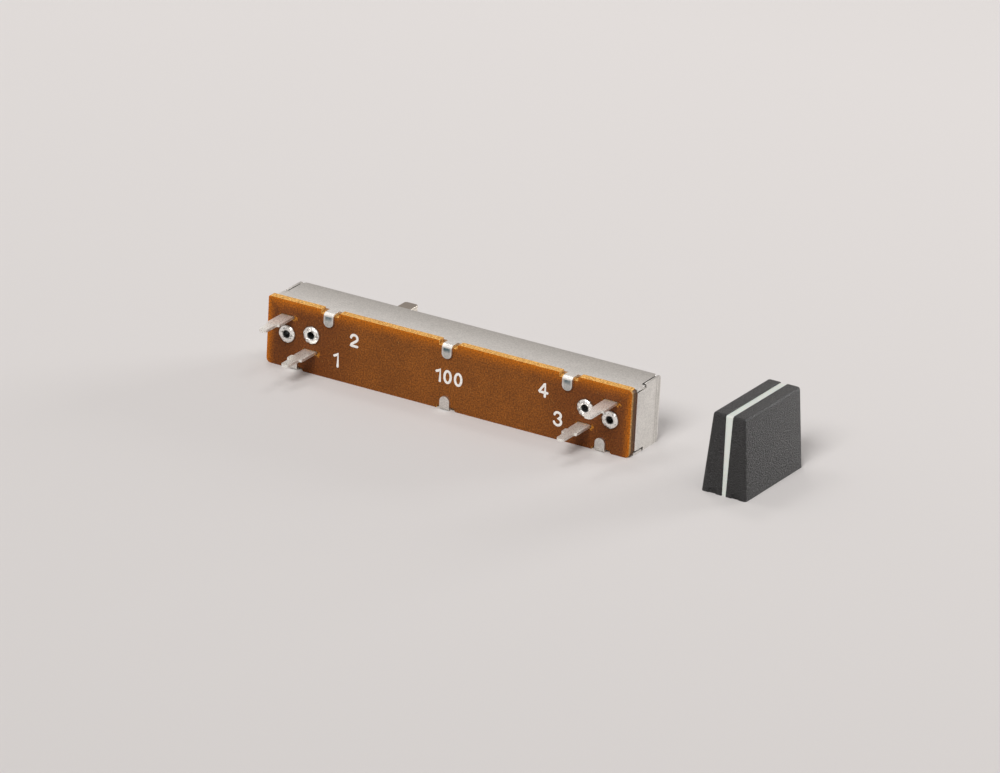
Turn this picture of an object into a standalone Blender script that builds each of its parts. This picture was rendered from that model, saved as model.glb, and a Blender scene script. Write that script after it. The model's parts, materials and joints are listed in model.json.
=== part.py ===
"""Slide potentiometer with its knob cap beside it, lying on its long side.

+X runs along the travel, +Y points out of the slot face as the lever does, and +Z is up.
The origin is the middle of the case's resting side. Sizes are in metres.
"""

import math

import bmesh
import bpy
from mathutils import Vector

MM = 0.001

# Roundings that stamping, moulding and printing leave at small corners
FINE_ROUND = 0.1 * MM
SMALL_ROUND = 0.2 * MM
CORNER_ROUND = 0.3 * MM

# Travel
TRAVEL = 60.0 * MM
PARKED_RUN = 7.1 * MM           # how far the lever stands from its left stop

# Case: one folded sheet of plated steel
SHEET = 0.5 * MM
CASE_END = 7.4 * MM             # from the lever's last place to the case's end
CASE_HEIGHT = 12.6 * MM
CASE_DEPTH = 9.1 * MM
CASE_FOLD = 0.1 * MM            # inside radius of the long folds and the end folds
SEAM = 0.22 * MM                # between a long wall's end and an end flap
SEAM_STEP = 3.1 * MM            # from the board to where wall and flap trade places
SEAM_STEP_HOLE = 0.6 * MM       # opening left at that step
CORNER_RELIEF = 0.75 * MM       # cut back of a long wall's corner beside the slot face
FLAP_GAP = 0.3 * MM             # between the end flaps and the board

# Clinch tabs, which fold over the front of the board
TAB_WIDTH = 2.0 * MM
TAB_SHIFT = -0.25 * MM          # of every tab, from the case's middle
TAB_REACH = 2.65 * MM           # from the case's outside to the tip
TAB_ROUND = 0.95 * MM
TAB_FOLD = 0.2 * MM             # inside radius
UPPER_TAB_INSET = 12.7 * MM     # from the case's end to the outer tabs
LOWER_TAB_INSET = 5.5 * MM

# Board: phenolic laminate
BOARD_END = 0.22 * MM           # longer than the case at each end
BOARD_OVERHANG = 0.3 * MM       # above the case's upper wall
BOARD_THICKNESS = 1.6 * MM
BOARD_SHIFT = -0.3 * MM         # so its left end stands out further than its right end
BOARD_CORNER = 0.9 * MM
BOARD_SHEARED_CORNER = 0.25 * MM
NOTCH_SIDE_PLAY = 0.9 * MM
NOTCH_PLAY = 0.08 * MM          # between a tab's root and the floor of its notch
NOTCH_CHAMFER = 0.2 * MM
SEAT = 0.02 * MM                # gap between pieces that lie on each other

# Terminals: stamped and tinned brass
TERMINAL_SHEET = 0.5 * MM
TERMINAL_FOLD = 0.25 * MM
TERMINAL_REACH = 8.7 * MM       # from the board's front to the tip
LEG_WIDTH = 2.55 * MM
NECK_WIDTH = 1.48 * MM
SHOULDER_REACH = 4.7 * MM       # from the board's front to the end of the wide part
SHOULDER_RUN = 0.15 * MM
SHOULDER_HOOK = 0.1 * MM
BARB_START = 3.6 * MM
BARB_END = 5.4 * MM
BARB_WIDTH = 0.3 * MM
BARB_NOTCH = 0.25 * MM
BARB_NOTCH_RUN = 0.35 * MM
FOOT_HIP = 0.5 * MM             # from the fold to where the foot widens
FOOT_RADIUS = 1.7 * MM
FOOT_HOLE_RADIUS = 1.0 * MM
SLOT_SIDE_ROOM = 0.35 * MM
SLOT_FACE_ROOM = 0.2 * MM
OUTER_LEG_INSET = 3.9 * MM      # from the case's end
OUTER_LEG_RISE = 3.4 * MM       # above the case's middle line
LEG_SPACING = 5.1 * MM          # from an outer leg to the inner leg beside it
INNER_LEG_DROP = 2.2 * MM       # below the case's middle line
LEG_SHIFT = -0.45 * MM
LEG_SPLAY = {1: -1.0, 2: 0.5, 3: 0.3, 4: 1.2}     # degrees that each leg stands askew

# Eyelets: plated brass, rolled over and split on the board's front
OUTER_EYELET_INSET = 3.9 * MM   # from the case's end
OUTER_EYELET_RISE = 0.15 * MM   # above the case's middle line
EYELET_SPACING = 5.1 * MM       # from an outer eyelet to the inner one beside it
INNER_EYELET_RISE = 1.1 * MM
EYELET_SHIFT = -0.25 * MM       # all four sit this far off the case's middle
EYELET_BORE_RADIUS = 0.65 * MM
EYELET_WALL = 0.25 * MM
EYELET_HOLE_RADIUS = 1.0 * MM
EYELET_MOUTH = 0.2 * MM
EYELET_HEAD_RADIUS = 1.5 * MM
EYELET_HEAD = 0.35 * MM
EYELET_EDGE = 0.05 * MM
EYELET_CURL_RADIUS = 1.65 * MM
EYELET_CURL = 0.4 * MM
EYELET_CREST = 0.45 * MM        # from the curl's rim in to its crest
EYELET_SPLITS = 5               # short cracks from the mouth out
EYELET_SPLIT_DEPTH = 0.16 * MM
EYELET_SPLIT_SHARPNESS = 8
EYELET_RIPPLE = 0.014           # share by which the rim wanders from round
EYELET_STEPS = 48

# Printed tracks on the board's inner face
PRINT = 0.04 * MM
TRACK_END = 1.5 * MM            # past the lever's last place
CARBON_WIDTH = 2.0 * MM
CARBON_INSET = 1.75 * MM        # from the lower wall's inner face to its middle
COLLECTOR_WIDTH = 1.3 * MM
COLLECTOR_INSET = 0.95 * MM     # from the upper wall's inner face to its middle
PAD_MARGIN = 0.12 * MM          # how far a printed pad shows round a terminal's foot
PAD_LINK = 1.0 * MM             # width of the narrow links
PRINT_ROOM = 0.15 * MM          # from a print to a hole, a slot or the next print
COLLECTOR_PAD_RISE = 0.4 * MM

# Slot and screw holes
SLOT_END_PLAY = 0.6 * MM
SLOT_SIDE_PLAY = 0.4 * MM
SCREW_END = 5.0 * MM            # from the lever's last place to the screw hole
SCREW_HOLE_RADIUS = 1.03 * MM   # tapped M2.5

# Lever: flat steel strip
LEVER_WIDTH = 2.8 * MM
LEVER_THICKNESS = 1.2 * MM
LEVER_REACH = 15.0 * MM         # beyond the slot face
LEVER_FOOT_WIDTH = 6.6 * MM
LEVER_FOOT_DEPTH = 1.7 * MM
LEVER_TIP_CHAMFER = 0.35 * MM
LEVER_SETTING = 0.03 * MM       # gap round the lever inside its block

# Slider block: moulded acetal
BLOCK_LENGTH = 11.0 * MM
BLOCK_FRONT = 1.8 * MM          # from the board's inner face
BLOCK_PLAY = 0.06 * MM          # to each long wall
BLOCK_RELIEF = 0.5 * MM
BLOCK_SHOE = 2.2 * MM           # length of each of its four running shoes
BLOCK_CORNER = 0.35 * MM
BLOCK_POCKET = 2.2 * MM         # depth of the moulding pockets
BLOCK_RIB = 1.0 * MM
STAKE_RADIUS = 0.5 * MM
STAKE_HEAD_RADIUS = 0.85 * MM
STAKE_HEAD = 0.3 * MM
STAKE_PIN = 1.0 * MM            # length of the pin, part of it inside the block
STAKE_CROWN = 0.6               # share of the head's width left at its crown
STAKE_ALONG = 3.2 * MM          # from the lever's middle
STAKE_ACROSS = 2.1 * MM

# Brush: sprung nickel silver
BRUSH_SHEET = 0.12 * MM
BRUSH_FOLD = 0.3 * MM
FINGER_WIDTH = 0.34 * MM
FINGER_GAP = 0.14 * MM
CARBON_FINGERS = 4
COLLECTOR_FINGERS = 3
BRUSH_LENGTH = 8.0 * MM
BRUSH_SPINE = 1.5 * MM
BRUSH_HOLE_PLAY = 0.05 * MM
FINGER_SLOPE = math.radians(20)
FINGER_TIP = 0.9 * MM
FINGER_TIP_ANGLE = math.radians(42)
CONTACT_GAP = 0.03 * MM

# Drag spring: leaf between the block and the slot face
SPRING_SHEET = 0.15 * MM
SPRING_ROOM = 1.3 * MM          # from the block to the slot face's inner side
SPRING_RAIL = 1.6 * MM
SPRING_WINDOW_LENGTH = 7.8 * MM
SPRING_WINDOW_HEIGHT = 5.6 * MM
SPRING_HOOK = 1.5 * MM
SPRING_FOLD = 0.1 * MM
SPRING_END_PLAY = 0.03 * MM     # between its hooks and the block's ends
SPRING_STEPS = 14

# Knob cap and its white insert
KNOB_PLACE_X = 59.2 * MM
KNOB_PLACE_Y = -0.8 * MM
KNOB_TURN = math.radians(-1.1)
KNOB_BASE_WIDTH = 9.0 * MM
KNOB_BASE_LENGTH = 20.3 * MM
KNOB_SIDE_TAPER = 1.25 * MM     # how far each wide face leans in over the height
KNOB_END_TAPER = 0.3 * MM
KNOB_HEIGHT = 15.1 * MM
KNOB_ROUND = 0.5 * MM
KNOB_WALL = 1.4 * MM
KNOB_ROOF = 2.2 * MM
KNOB_SOCKET_WALL = 1.7 * MM
KNOB_SOCKET_DEPTH = 11.0 * MM
KNOB_GRIP = 0.04 * MM           # gap left round the lever in the socket
KNOB_SLIT = 0.7 * MM
KNOB_SLIT_HEIGHT = 7.7 * MM
KNOB_GATE_WIDTH = 1.4 * MM      # mould marks at the foot of the narrow ends
KNOB_GATE_HEIGHT = 0.9 * MM
KNOB_GATE_DEPTH = 0.2 * MM
KNOB_GATE_PITCH = 4.6 * MM
LINE_TOP_WIDTH = 1.45 * MM
LINE_BASE_WIDTH = 0.8 * MM
LINE_THICKNESS = 0.6 * MM
LINE_RECESS = 0.22 * MM

# How finely curves are drawn, and the room that picking and cutting need
ARC_STEP = math.radians(15)
FOLD_STEPS = 6
SMALL_FOLD_STEPS = 4
HOLE_STEPS = 32
SMALL_HOLE_STEPS = 24
SMOOTH_ANGLE = math.radians(35)
FLAT_ANGLE = math.radians(0.05)
SLACK = 0.001 * MM
HAIR = 0.0001 * MM
OVERCUT = 1.0 * MM              # how far a cutting block stands out of what it cuts

# Levels worked out from the sizes above
CASE_LENGTH = TRAVEL + 2 * CASE_END
PARKED = PARKED_RUN - TRAVEL / 2
MIDDLE = CASE_HEIGHT / 2
BOARD_HEIGHT = CASE_HEIGHT + BOARD_OVERHANG
CARBON_LEVEL = SHEET + CARBON_INSET
COLLECTOR_LEVEL = CASE_HEIGHT - SHEET - COLLECTOR_INSET
BOARD_LENGTH = CASE_LENGTH + 2 * BOARD_END
TRACK_LENGTH = TRAVEL + 2 * TRACK_END
SCREW_PITCH = TRAVEL + 2 * SCREW_END
UPPER_TAB_PITCH = CASE_LENGTH / 2 - UPPER_TAB_INSET
LOWER_TAB_PITCH = CASE_LENGTH / 2 - LOWER_TAB_INSET
KNOB_TOP_WIDTH = KNOB_BASE_WIDTH - 2 * KNOB_SIDE_TAPER
KNOB_TOP_LENGTH = KNOB_BASE_LENGTH - 2 * KNOB_END_TAPER
SLOT_FACE = CASE_DEPTH / 2
BOARD_BACK = -CASE_DEPTH / 2
BOARD_FRONT = BOARD_BACK - BOARD_THICKNESS
FOOT_FACE = BOARD_BACK + PRINT + SEAT
TRACK_FACE = BOARD_BACK + PRINT
CASE_OUTER_FOLD = CASE_FOLD + SHEET
BLOCK_FACE = BOARD_BACK + BLOCK_FRONT
BLOCK_REAR = SLOT_FACE - SHEET - SPRING_ROOM
BRUSH_FACE = BLOCK_FACE - SEAT - BRUSH_SHEET

MATERIALS = {
    "plated_steel": ((0.52, 0.51, 0.49), 0.9, 0.42),
    "phenolic": ((0.23, 0.085, 0.025), 0.0, 0.45),
    "tinned_brass": ((0.50, 0.47, 0.43), 0.9, 0.45),
    "plated_brass": ((0.78, 0.76, 0.72), 1.0, 0.22),
    "carbon_print": ((0.02, 0.02, 0.02), 0.0, 0.6),
    "silver_print": ((0.55, 0.55, 0.54), 0.6, 0.5),
    "lever_steel": ((0.36, 0.34, 0.31), 1.0, 0.38),
    "acetal": ((0.75, 0.73, 0.66), 0.0, 0.4),
    "nickel_silver": ((0.66, 0.62, 0.52), 1.0, 0.25),
    "spring_steel": ((0.42, 0.41, 0.40), 1.0, 0.3),
    "black_abs": ((0.035, 0.034, 0.034), 0.0, 0.5),
    "white_abs": ((0.80, 0.83, 0.79), 0.0, 0.45),
}


def clear_scene():
    """Removes what the scene holds."""
    for obj in list(bpy.data.objects):
        bpy.data.objects.remove(obj, do_unlink=True)


def make_material(name):
    """A Principled material from the table, made once."""
    found = bpy.data.materials.get(name)
    if found:
        return found
    colour, metallic, roughness = MATERIALS[name]
    material = bpy.data.materials.new(name)
    material.use_nodes = True
    shader = material.node_tree.nodes["Principled BSDF"]
    shader.inputs["Base Color"].default_value = (*colour, 1.0)
    shader.inputs["Metallic"].default_value = metallic
    shader.inputs["Roughness"].default_value = roughness
    material.diffuse_color = (*colour, 1.0)
    return material


def finish(name, bm, material, parent=None, location=(0.0, 0.0, 0.0)):
    """Turns a bmesh into a named object with its material."""
    merge_flats(bm)
    bmesh.ops.recalc_face_normals(bm, faces=bm.faces[:])
    mesh = bpy.data.meshes.new(name)
    bm.to_mesh(mesh)
    bm.free()
    mesh.shade_smooth()
    mesh.set_sharp_from_angle(angle=SMOOTH_ANGLE)
    mesh.materials.append(make_material(material))
    obj = bpy.data.objects.new(name, mesh)
    bpy.context.scene.collection.objects.link(obj)
    obj.parent = parent
    obj.location = location
    return obj


def carve(target, bm, operation="DIFFERENCE"):
    """Cuts a bmesh from a piece, or joins it on, with a live Boolean."""
    number = len(target.modifiers) + 1
    material = target.data.materials[0].name
    tool = finish(f"{target.name}_tool_{number}", bm, material, target.parent)
    tool.hide_render = True
    tool.display_type = "WIRE"
    modifier = target.modifiers.new(f"{operation.title()} {number}", "BOOLEAN")
    modifier.operation = operation
    modifier.solver = "EXACT"
    modifier.object = tool


def empty(name, location, turn=0.0):
    """An empty that carries pieces."""
    obj = bpy.data.objects.new(name, None)
    bpy.context.scene.collection.objects.link(obj)
    obj.location = location
    obj.rotation_euler = (0.0, 0.0, turn)
    return obj


def rounded(corners):
    """Outline through corners (x, z, radius), with each radius as an arc."""
    points = []
    for index, (x, z, radius) in enumerate(corners):
        corner = Vector((x, z))
        if radius <= 0.0:
            points.append(corner)
            continue
        back = (Vector(corners[index - 1][:2]) - corner).normalized()
        ahead = (Vector(corners[(index + 1) % len(corners)][:2]) - corner).normalized()
        angle = back.angle(ahead)
        centre = corner + (back + ahead).normalized() * radius / math.sin(angle / 2)
        spoke = corner + back * radius / math.tan(angle / 2) - centre
        turn = math.copysign(math.pi - angle, ahead.cross(back))
        steps = max(2, math.ceil(abs(turn) / ARC_STEP))
        for step in range(steps + 1):
            swing = turn * step / steps
            cosine, sine = math.cos(swing), math.sin(swing)
            across = spoke.x * cosine - spoke.y * sine
            points.append(centre + Vector((across, spoke.x * sine + spoke.y * cosine)))
    return points


def circle(x, z, radius, steps=HOLE_STEPS):
    """Outline of a round hole."""
    turns = [2 * math.pi * step / steps for step in range(steps)]
    return [Vector((x + radius * math.cos(turn), z + radius * math.sin(turn))) for turn in turns]


def rectangle(x, z, width, height, radius=0.0):
    """Outline of a rectangle about its middle."""
    return rounded([
        (x + sx * width / 2, z + sz * height / 2, radius)
        for sx, sz in ((-1, -1), (1, -1), (1, 1), (-1, 1))
    ])


def blank(outline, holes, thickness, level=0.0):
    """Flat blank in the XZ plane, from a level to a thickness further along +Y.

    The outline is filled at a thousand times its size, because the fill merges fine detail.
    """
    bm = bmesh.new()
    edges = []
    for loop in (outline, *holes):
        verts = [bm.verts.new((point[0] / MM, 0.0, point[1] / MM)) for point in loop]
        edges += [bm.edges.new(pair) for pair in zip(verts, verts[1:] + verts[:1])]
    bmesh.ops.triangle_fill(bm, edges=edges, use_beauty=True, normal=(0.0, 1.0, 0.0))
    bmesh.ops.scale(bm, verts=bm.verts[:], vec=(MM, MM, MM))
    merge_flats(bm)
    bmesh.ops.translate(bm, verts=bm.verts[:], vec=(0.0, level, 0.0))
    grown = bmesh.ops.extrude_face_region(bm, geom=bm.faces[:])
    lifted = [item for item in grown["geom"] if isinstance(item, bmesh.types.BMVert)]
    bmesh.ops.translate(bm, verts=lifted, vec=(0.0, thickness, 0.0))
    bmesh.ops.recalc_face_normals(bm, faces=bm.faces[:])
    return bm


def merge_flats(bm):
    """Joins faces that lie in one plane."""
    bmesh.ops.dissolve_limit(
        bm, angle_limit=FLAT_ANGLE, verts=bm.verts[:], edges=bm.edges[:], use_dissolve_boundaries=False
    )


def slice_across(bm, belongs, point, normal):
    """Adds an edge loop where a plane crosses the part of a sheet that belongs to a fold."""
    faces = [face for face in bm.faces if any(belongs(vert.co) for vert in face.verts)]
    edges = {edge for face in faces for edge in face.edges}
    verts = {vert for face in faces for vert in face.verts}
    bmesh.ops.bisect_plane(
        bm, geom=[*verts, *edges, *faces], dist=HAIR / 10, plane_co=point, plane_no=normal
    )


def fold(bm, belongs, line, away, inward, radius, thickness, angle=math.pi / 2, steps=FOLD_STEPS):
    """Folds the part of a sheet that lies past a line on its inner face.

    away points along the sheet from the fixed part, and inward is the side it folds to.
    """
    line, away, inward = Vector(line), Vector(away), Vector(inward)
    arc = (radius + thickness / 2) * angle
    for step in range(steps + 1):
        slice_across(bm, belongs, line + away * arc * step / steps, away)
    centre = line + inward * radius
    for vert in bm.verts:
        run = (vert.co - line).dot(away)
        if run <= 0.0 or not belongs(vert.co):
            continue
        spoke = radius - (vert.co - line).dot(inward)
        side = vert.co - line
        side -= away * side.dot(away) + inward * side.dot(inward)
        swing = min(run / arc, 1.0) * angle
        place = centre - inward * spoke * math.cos(swing) + away * spoke * math.sin(swing)
        place += (away * math.cos(swing) + inward * math.sin(swing)) * max(run - arc, 0.0)
        vert.co = place + side


def box(low, high):
    """A block between two corners."""
    bm = bmesh.new()
    bmesh.ops.create_cube(bm, size=1.0)
    low, high = Vector(low), Vector(high)
    for vert in bm.verts:
        vert.co = [low[axis] + (vert.co[axis] + 0.5) * (high[axis] - low[axis]) for axis in range(3)]
    return bm


def tapered_box(base, top, height):
    """A block whose base and top differ in size, standing at the origin."""
    bm = bmesh.new()
    bmesh.ops.create_cube(bm, size=1.0)
    for vert in bm.verts:
        share = vert.co.z + 0.5
        for axis in range(2):
            vert.co[axis] *= base[axis] + (top[axis] - base[axis]) * share
        vert.co.z = share * height
    return bm


def leg_spot(number):
    """Where the leg of a terminal stands: along, up, and the side its foot goes to."""
    side = -1 if number in (1, 2) else 1
    outer = CASE_LENGTH / 2 - OUTER_LEG_INSET
    if number in (1, 3):
        return side * (outer - LEG_SPACING) + LEG_SHIFT, MIDDLE - INNER_LEG_DROP, 1
    return side * outer + LEG_SHIFT, MIDDLE + OUTER_LEG_RISE, -1


def eyelet_spot(number):
    """Where the eyelet that holds a terminal sits: along and up."""
    side = -1 if number in (1, 2) else 1
    outer = CASE_LENGTH / 2 - OUTER_EYELET_INSET
    if number in (1, 3):
        return side * (outer - EYELET_SPACING) + EYELET_SHIFT, MIDDLE + INNER_EYELET_RISE
    return side * outer + EYELET_SHIFT, MIDDLE + OUTER_EYELET_RISE


def make_case():
    """The folded case with its slot, screw holes, end flaps and clinch tabs."""
    half_length, half_height = CASE_LENGTH / 2, CASE_HEIGHT / 2
    arc = (CASE_FOLD + SHEET / 2) * math.pi / 2
    wall_fold = half_height - CASE_OUTER_FOLD
    wall_edge = wall_fold + arc + CASE_DEPTH - CASE_OUTER_FOLD
    wall_step = wall_edge - SEAM_STEP
    flap_fold = half_length - CASE_OUTER_FOLD
    flap_start = flap_fold + arc
    flap_edge = flap_start + CASE_DEPTH - FLAP_GAP - CASE_OUTER_FOLD
    flap_step = flap_start + CASE_DEPTH - SEAM_STEP - CASE_OUTER_FOLD
    wall_end = half_length - SHEET - SEAM
    relief_end = wall_end - CORNER_RELIEF
    tab_arc = (TAB_FOLD + SHEET / 2) * math.pi / 2
    tab_fold = wall_edge + BOARD_THICKNESS + SEAT - TAB_FOLD
    tab_tip = tab_fold + tab_arc + TAB_REACH - TAB_FOLD - SHEET
    flap_narrow = half_height - SHEET - SEAM
    hole = SEAM_STEP_HOLE / 2

    def quarter(side, end):
        """Corners of the blank from a wall's middle to a flap's middle."""
        corners = [
            (end * half_length, side * wall_edge, 0.0),
            (end * half_length, side * (wall_step + hole), 0.0),
            (end * wall_end, side * (wall_step + hole), 0.0),
            (end * wall_end, side * (wall_fold + arc + CORNER_RELIEF), FINE_ROUND),
            (end * relief_end, side * (wall_fold - CASE_FOLD), SMALL_ROUND),
            (end * flap_start, side * (wall_fold - CASE_FOLD), 0.0),
            (end * flap_start, side * half_height, SMALL_ROUND),
            (end * (flap_step - hole), side * half_height, 0.0),
            (end * (flap_step - hole), side * flap_narrow, 0.0),
            (end * flap_edge, side * flap_narrow, CORNER_ROUND),
        ]
        return corners if side * end > 0 else corners[::-1]

    def tabs(side, pitch):
        """Corners of the three tabs on one long wall."""
        corners = []
        for middle in (pitch, 0.0, -pitch):
            left = middle + TAB_SHIFT - TAB_WIDTH / 2
            right = left + TAB_WIDTH
            corners += [
                (right, side * wall_edge, 0.0),
                (right, side * tab_tip, TAB_ROUND),
                (left, side * tab_tip, TAB_ROUND),
                (left, side * wall_edge, 0.0),
            ]
        return corners if side > 0 else corners[::-1]

    outline = rounded(
        quarter(1, 1)[::-1] + tabs(1, UPPER_TAB_PITCH) + quarter(1, -1)[::-1]
        + quarter(-1, -1)[::-1] + tabs(-1, LOWER_TAB_PITCH) + quarter(-1, 1)[::-1]
    )
    slot_height = LEVER_THICKNESS + 2 * SLOT_SIDE_PLAY
    slot_length = TRAVEL + LEVER_WIDTH + 2 * SLOT_END_PLAY
    holes = [rectangle(0.0, 0.0, slot_length, slot_height, slot_height / 2 - SLACK)]
    holes += [circle(side * SCREW_PITCH / 2, 0.0, SCREW_HOLE_RADIUS) for side in (-1, 1)]
    bm = blank(outline, holes, SHEET)
    inward = (0.0, -1.0, 0.0)
    for side in (1, -1):
        away = (0.0, 0.0, side)
        fold(
            bm, lambda co: side * co.z > wall_edge + SLACK,
            (0.0, 0.0, side * tab_fold), away, inward, TAB_FOLD, SHEET,
        )
    for side in (1, -1):
        away = (0.0, 0.0, side)
        fold(
            bm, lambda co: side * co.z > wall_fold - SLACK and abs(co.x) < half_length + SLACK
            and (side * co.z > half_height + SLACK or abs(co.x) < flap_fold),
            (0.0, 0.0, side * wall_fold), away, inward, CASE_FOLD, SHEET,
        )
    for end in (1, -1):
        away = (end, 0.0, 0.0)
        fold(
            bm, lambda co: end * co.x > flap_fold - SLACK and co.y > -SLACK,
            (end * flap_fold, 0.0, 0.0), away, inward, CASE_FOLD, SHEET,
        )
    bmesh.ops.translate(bm, verts=bm.verts[:], vec=(0.0, SLOT_FACE - SHEET, MIDDLE))
    return finish("case_shell", bm, "plated_steel")


def make_board():
    """The phenolic board with notches for the tabs, slots and eyelet holes."""
    left = BOARD_SHIFT - BOARD_LENGTH / 2
    right = BOARD_SHIFT + BOARD_LENGTH / 2
    upper_floor = CASE_HEIGHT - SHEET - NOTCH_PLAY
    lower_floor = SHEET + NOTCH_PLAY
    half_notch = TAB_WIDTH / 2 + NOTCH_SIDE_PLAY
    corners = [(left, 0.0, BOARD_CORNER)]
    for middle in (-LOWER_TAB_PITCH, 0.0, LOWER_TAB_PITCH):
        start, end = middle + TAB_SHIFT - half_notch, middle + TAB_SHIFT + half_notch
        corners += [
            (start, 0.0, 0.0), (start, lower_floor, SMALL_ROUND),
            (end, lower_floor, SMALL_ROUND), (end, NOTCH_CHAMFER, 0.0), (end + NOTCH_CHAMFER, 0.0, 0.0),
        ]
    corners += [(right, 0.0, BOARD_CORNER), (right, BOARD_HEIGHT, BOARD_CORNER)]
    for middle in (UPPER_TAB_PITCH, 0.0, -UPPER_TAB_PITCH):
        start, end = middle + TAB_SHIFT - half_notch, middle + TAB_SHIFT + half_notch
        corners += [
            (end + NOTCH_CHAMFER, BOARD_HEIGHT, 0.0), (end, BOARD_HEIGHT - NOTCH_CHAMFER, 0.0),
            (end, upper_floor, SMALL_ROUND), (start, upper_floor, SMALL_ROUND),
            (start, BOARD_HEIGHT, 0.0),
        ]
    corners.append((left, BOARD_HEIGHT, BOARD_SHEARED_CORNER))
    slot_width = LEG_WIDTH + 2 * SLOT_SIDE_ROOM
    slot_height = TERMINAL_SHEET + 2 * SLOT_FACE_ROOM
    holes = []
    for number in (1, 2, 3, 4):
        along, up, _ = leg_spot(number)
        holes.append(rectangle(along, up, slot_width, slot_height, SMALL_ROUND))
        holes.append(circle(*eyelet_spot(number), EYELET_HOLE_RADIUS, SMALL_HOLE_STEPS))
    bm = blank(rounded(corners), holes, BOARD_THICKNESS, BOARD_FRONT)
    return finish("track_board", bm, "phenolic")


def make_tracks():
    """The printed resistance track, its two silver ends and the collector."""
    low, high = CARBON_LEVEL - CARBON_WIDTH / 2, CARBON_LEVEL + CARBON_WIDTH / 2
    finish(
        "carbon_track",
        blank(rectangle(0.0, CARBON_LEVEL, TRACK_LENGTH, CARBON_WIDTH), [], PRINT, BOARD_BACK),
        "carbon_print",
    )
    room = FOOT_HOLE_RADIUS + PRINT_ROOM
    for number, side in ((1, -1), (3, 1)):
        along, up = eyelet_spot(number)
        inner = abs(along) - FOOT_RADIUS + PAD_MARGIN
        start = TRACK_LENGTH / 2 + SEAT
        pad_low = up - FOOT_RADIUS + PAD_MARGIN
        link = start - PAD_LINK
        pad_high = up + FOOT_RADIUS - PAD_MARGIN
        corners = [
            (side * start, low, 0.0), (side * (start + PAD_LINK), low, SMALL_ROUND),
            (side * (start + PAD_LINK), high + PAD_LINK, 2 * CORNER_ROUND),
            (side * start, high + PAD_LINK, SMALL_ROUND),
            (side * start, pad_high, CORNER_ROUND), (side * inner, pad_high, CORNER_ROUND),
            (side * inner, pad_low, CORNER_ROUND), (side * link, pad_low, SMALL_ROUND),
            (side * link, high + PRINT_ROOM, SMALL_ROUND), (side * start, high + PRINT_ROOM, 0.0),
        ]
        hole = circle(along, up, room, SMALL_HOLE_STEPS)
        bm = blank(rounded(corners), [hole], PRINT, BOARD_BACK)
        finish(f"silver_pad_{number}", bm, "silver_print")
    low = COLLECTOR_LEVEL - COLLECTOR_WIDTH / 2
    high = COLLECTOR_LEVEL + COLLECTOR_WIDTH / 2
    corners, holes = [], []
    for number, side in ((2, -1), (4, 1)):
        along, up = eyelet_spot(number)
        holes.append(circle(along, up, room, SMALL_HOLE_STEPS))
        slot_edge = abs(leg_spot(number)[0]) + LEG_WIDTH / 2 + SLOT_SIDE_ROOM + PRINT_ROOM
        outer = slot_edge + PAD_LINK
        pad_high = up + FOOT_RADIUS + COLLECTOR_PAD_RISE
        pad_low = up - FOOT_RADIUS + PAD_MARGIN
        inner = abs(along) - FOOT_RADIUS + PAD_MARGIN
        end = [
            (side * slot_edge, low, SMALL_ROUND), (side * slot_edge, pad_high, SMALL_ROUND),
            (side * inner, pad_high, SMALL_ROUND), (side * inner, pad_low, CORNER_ROUND),
            (side * outer, pad_low, CORNER_ROUND), (side * outer, high, CORNER_ROUND),
        ]
        corners += end if side > 0 else end[::-1]
    bm = blank(rounded(corners), holes, PRINT, BOARD_BACK)
    finish("collector_track", bm, "silver_print")


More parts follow.
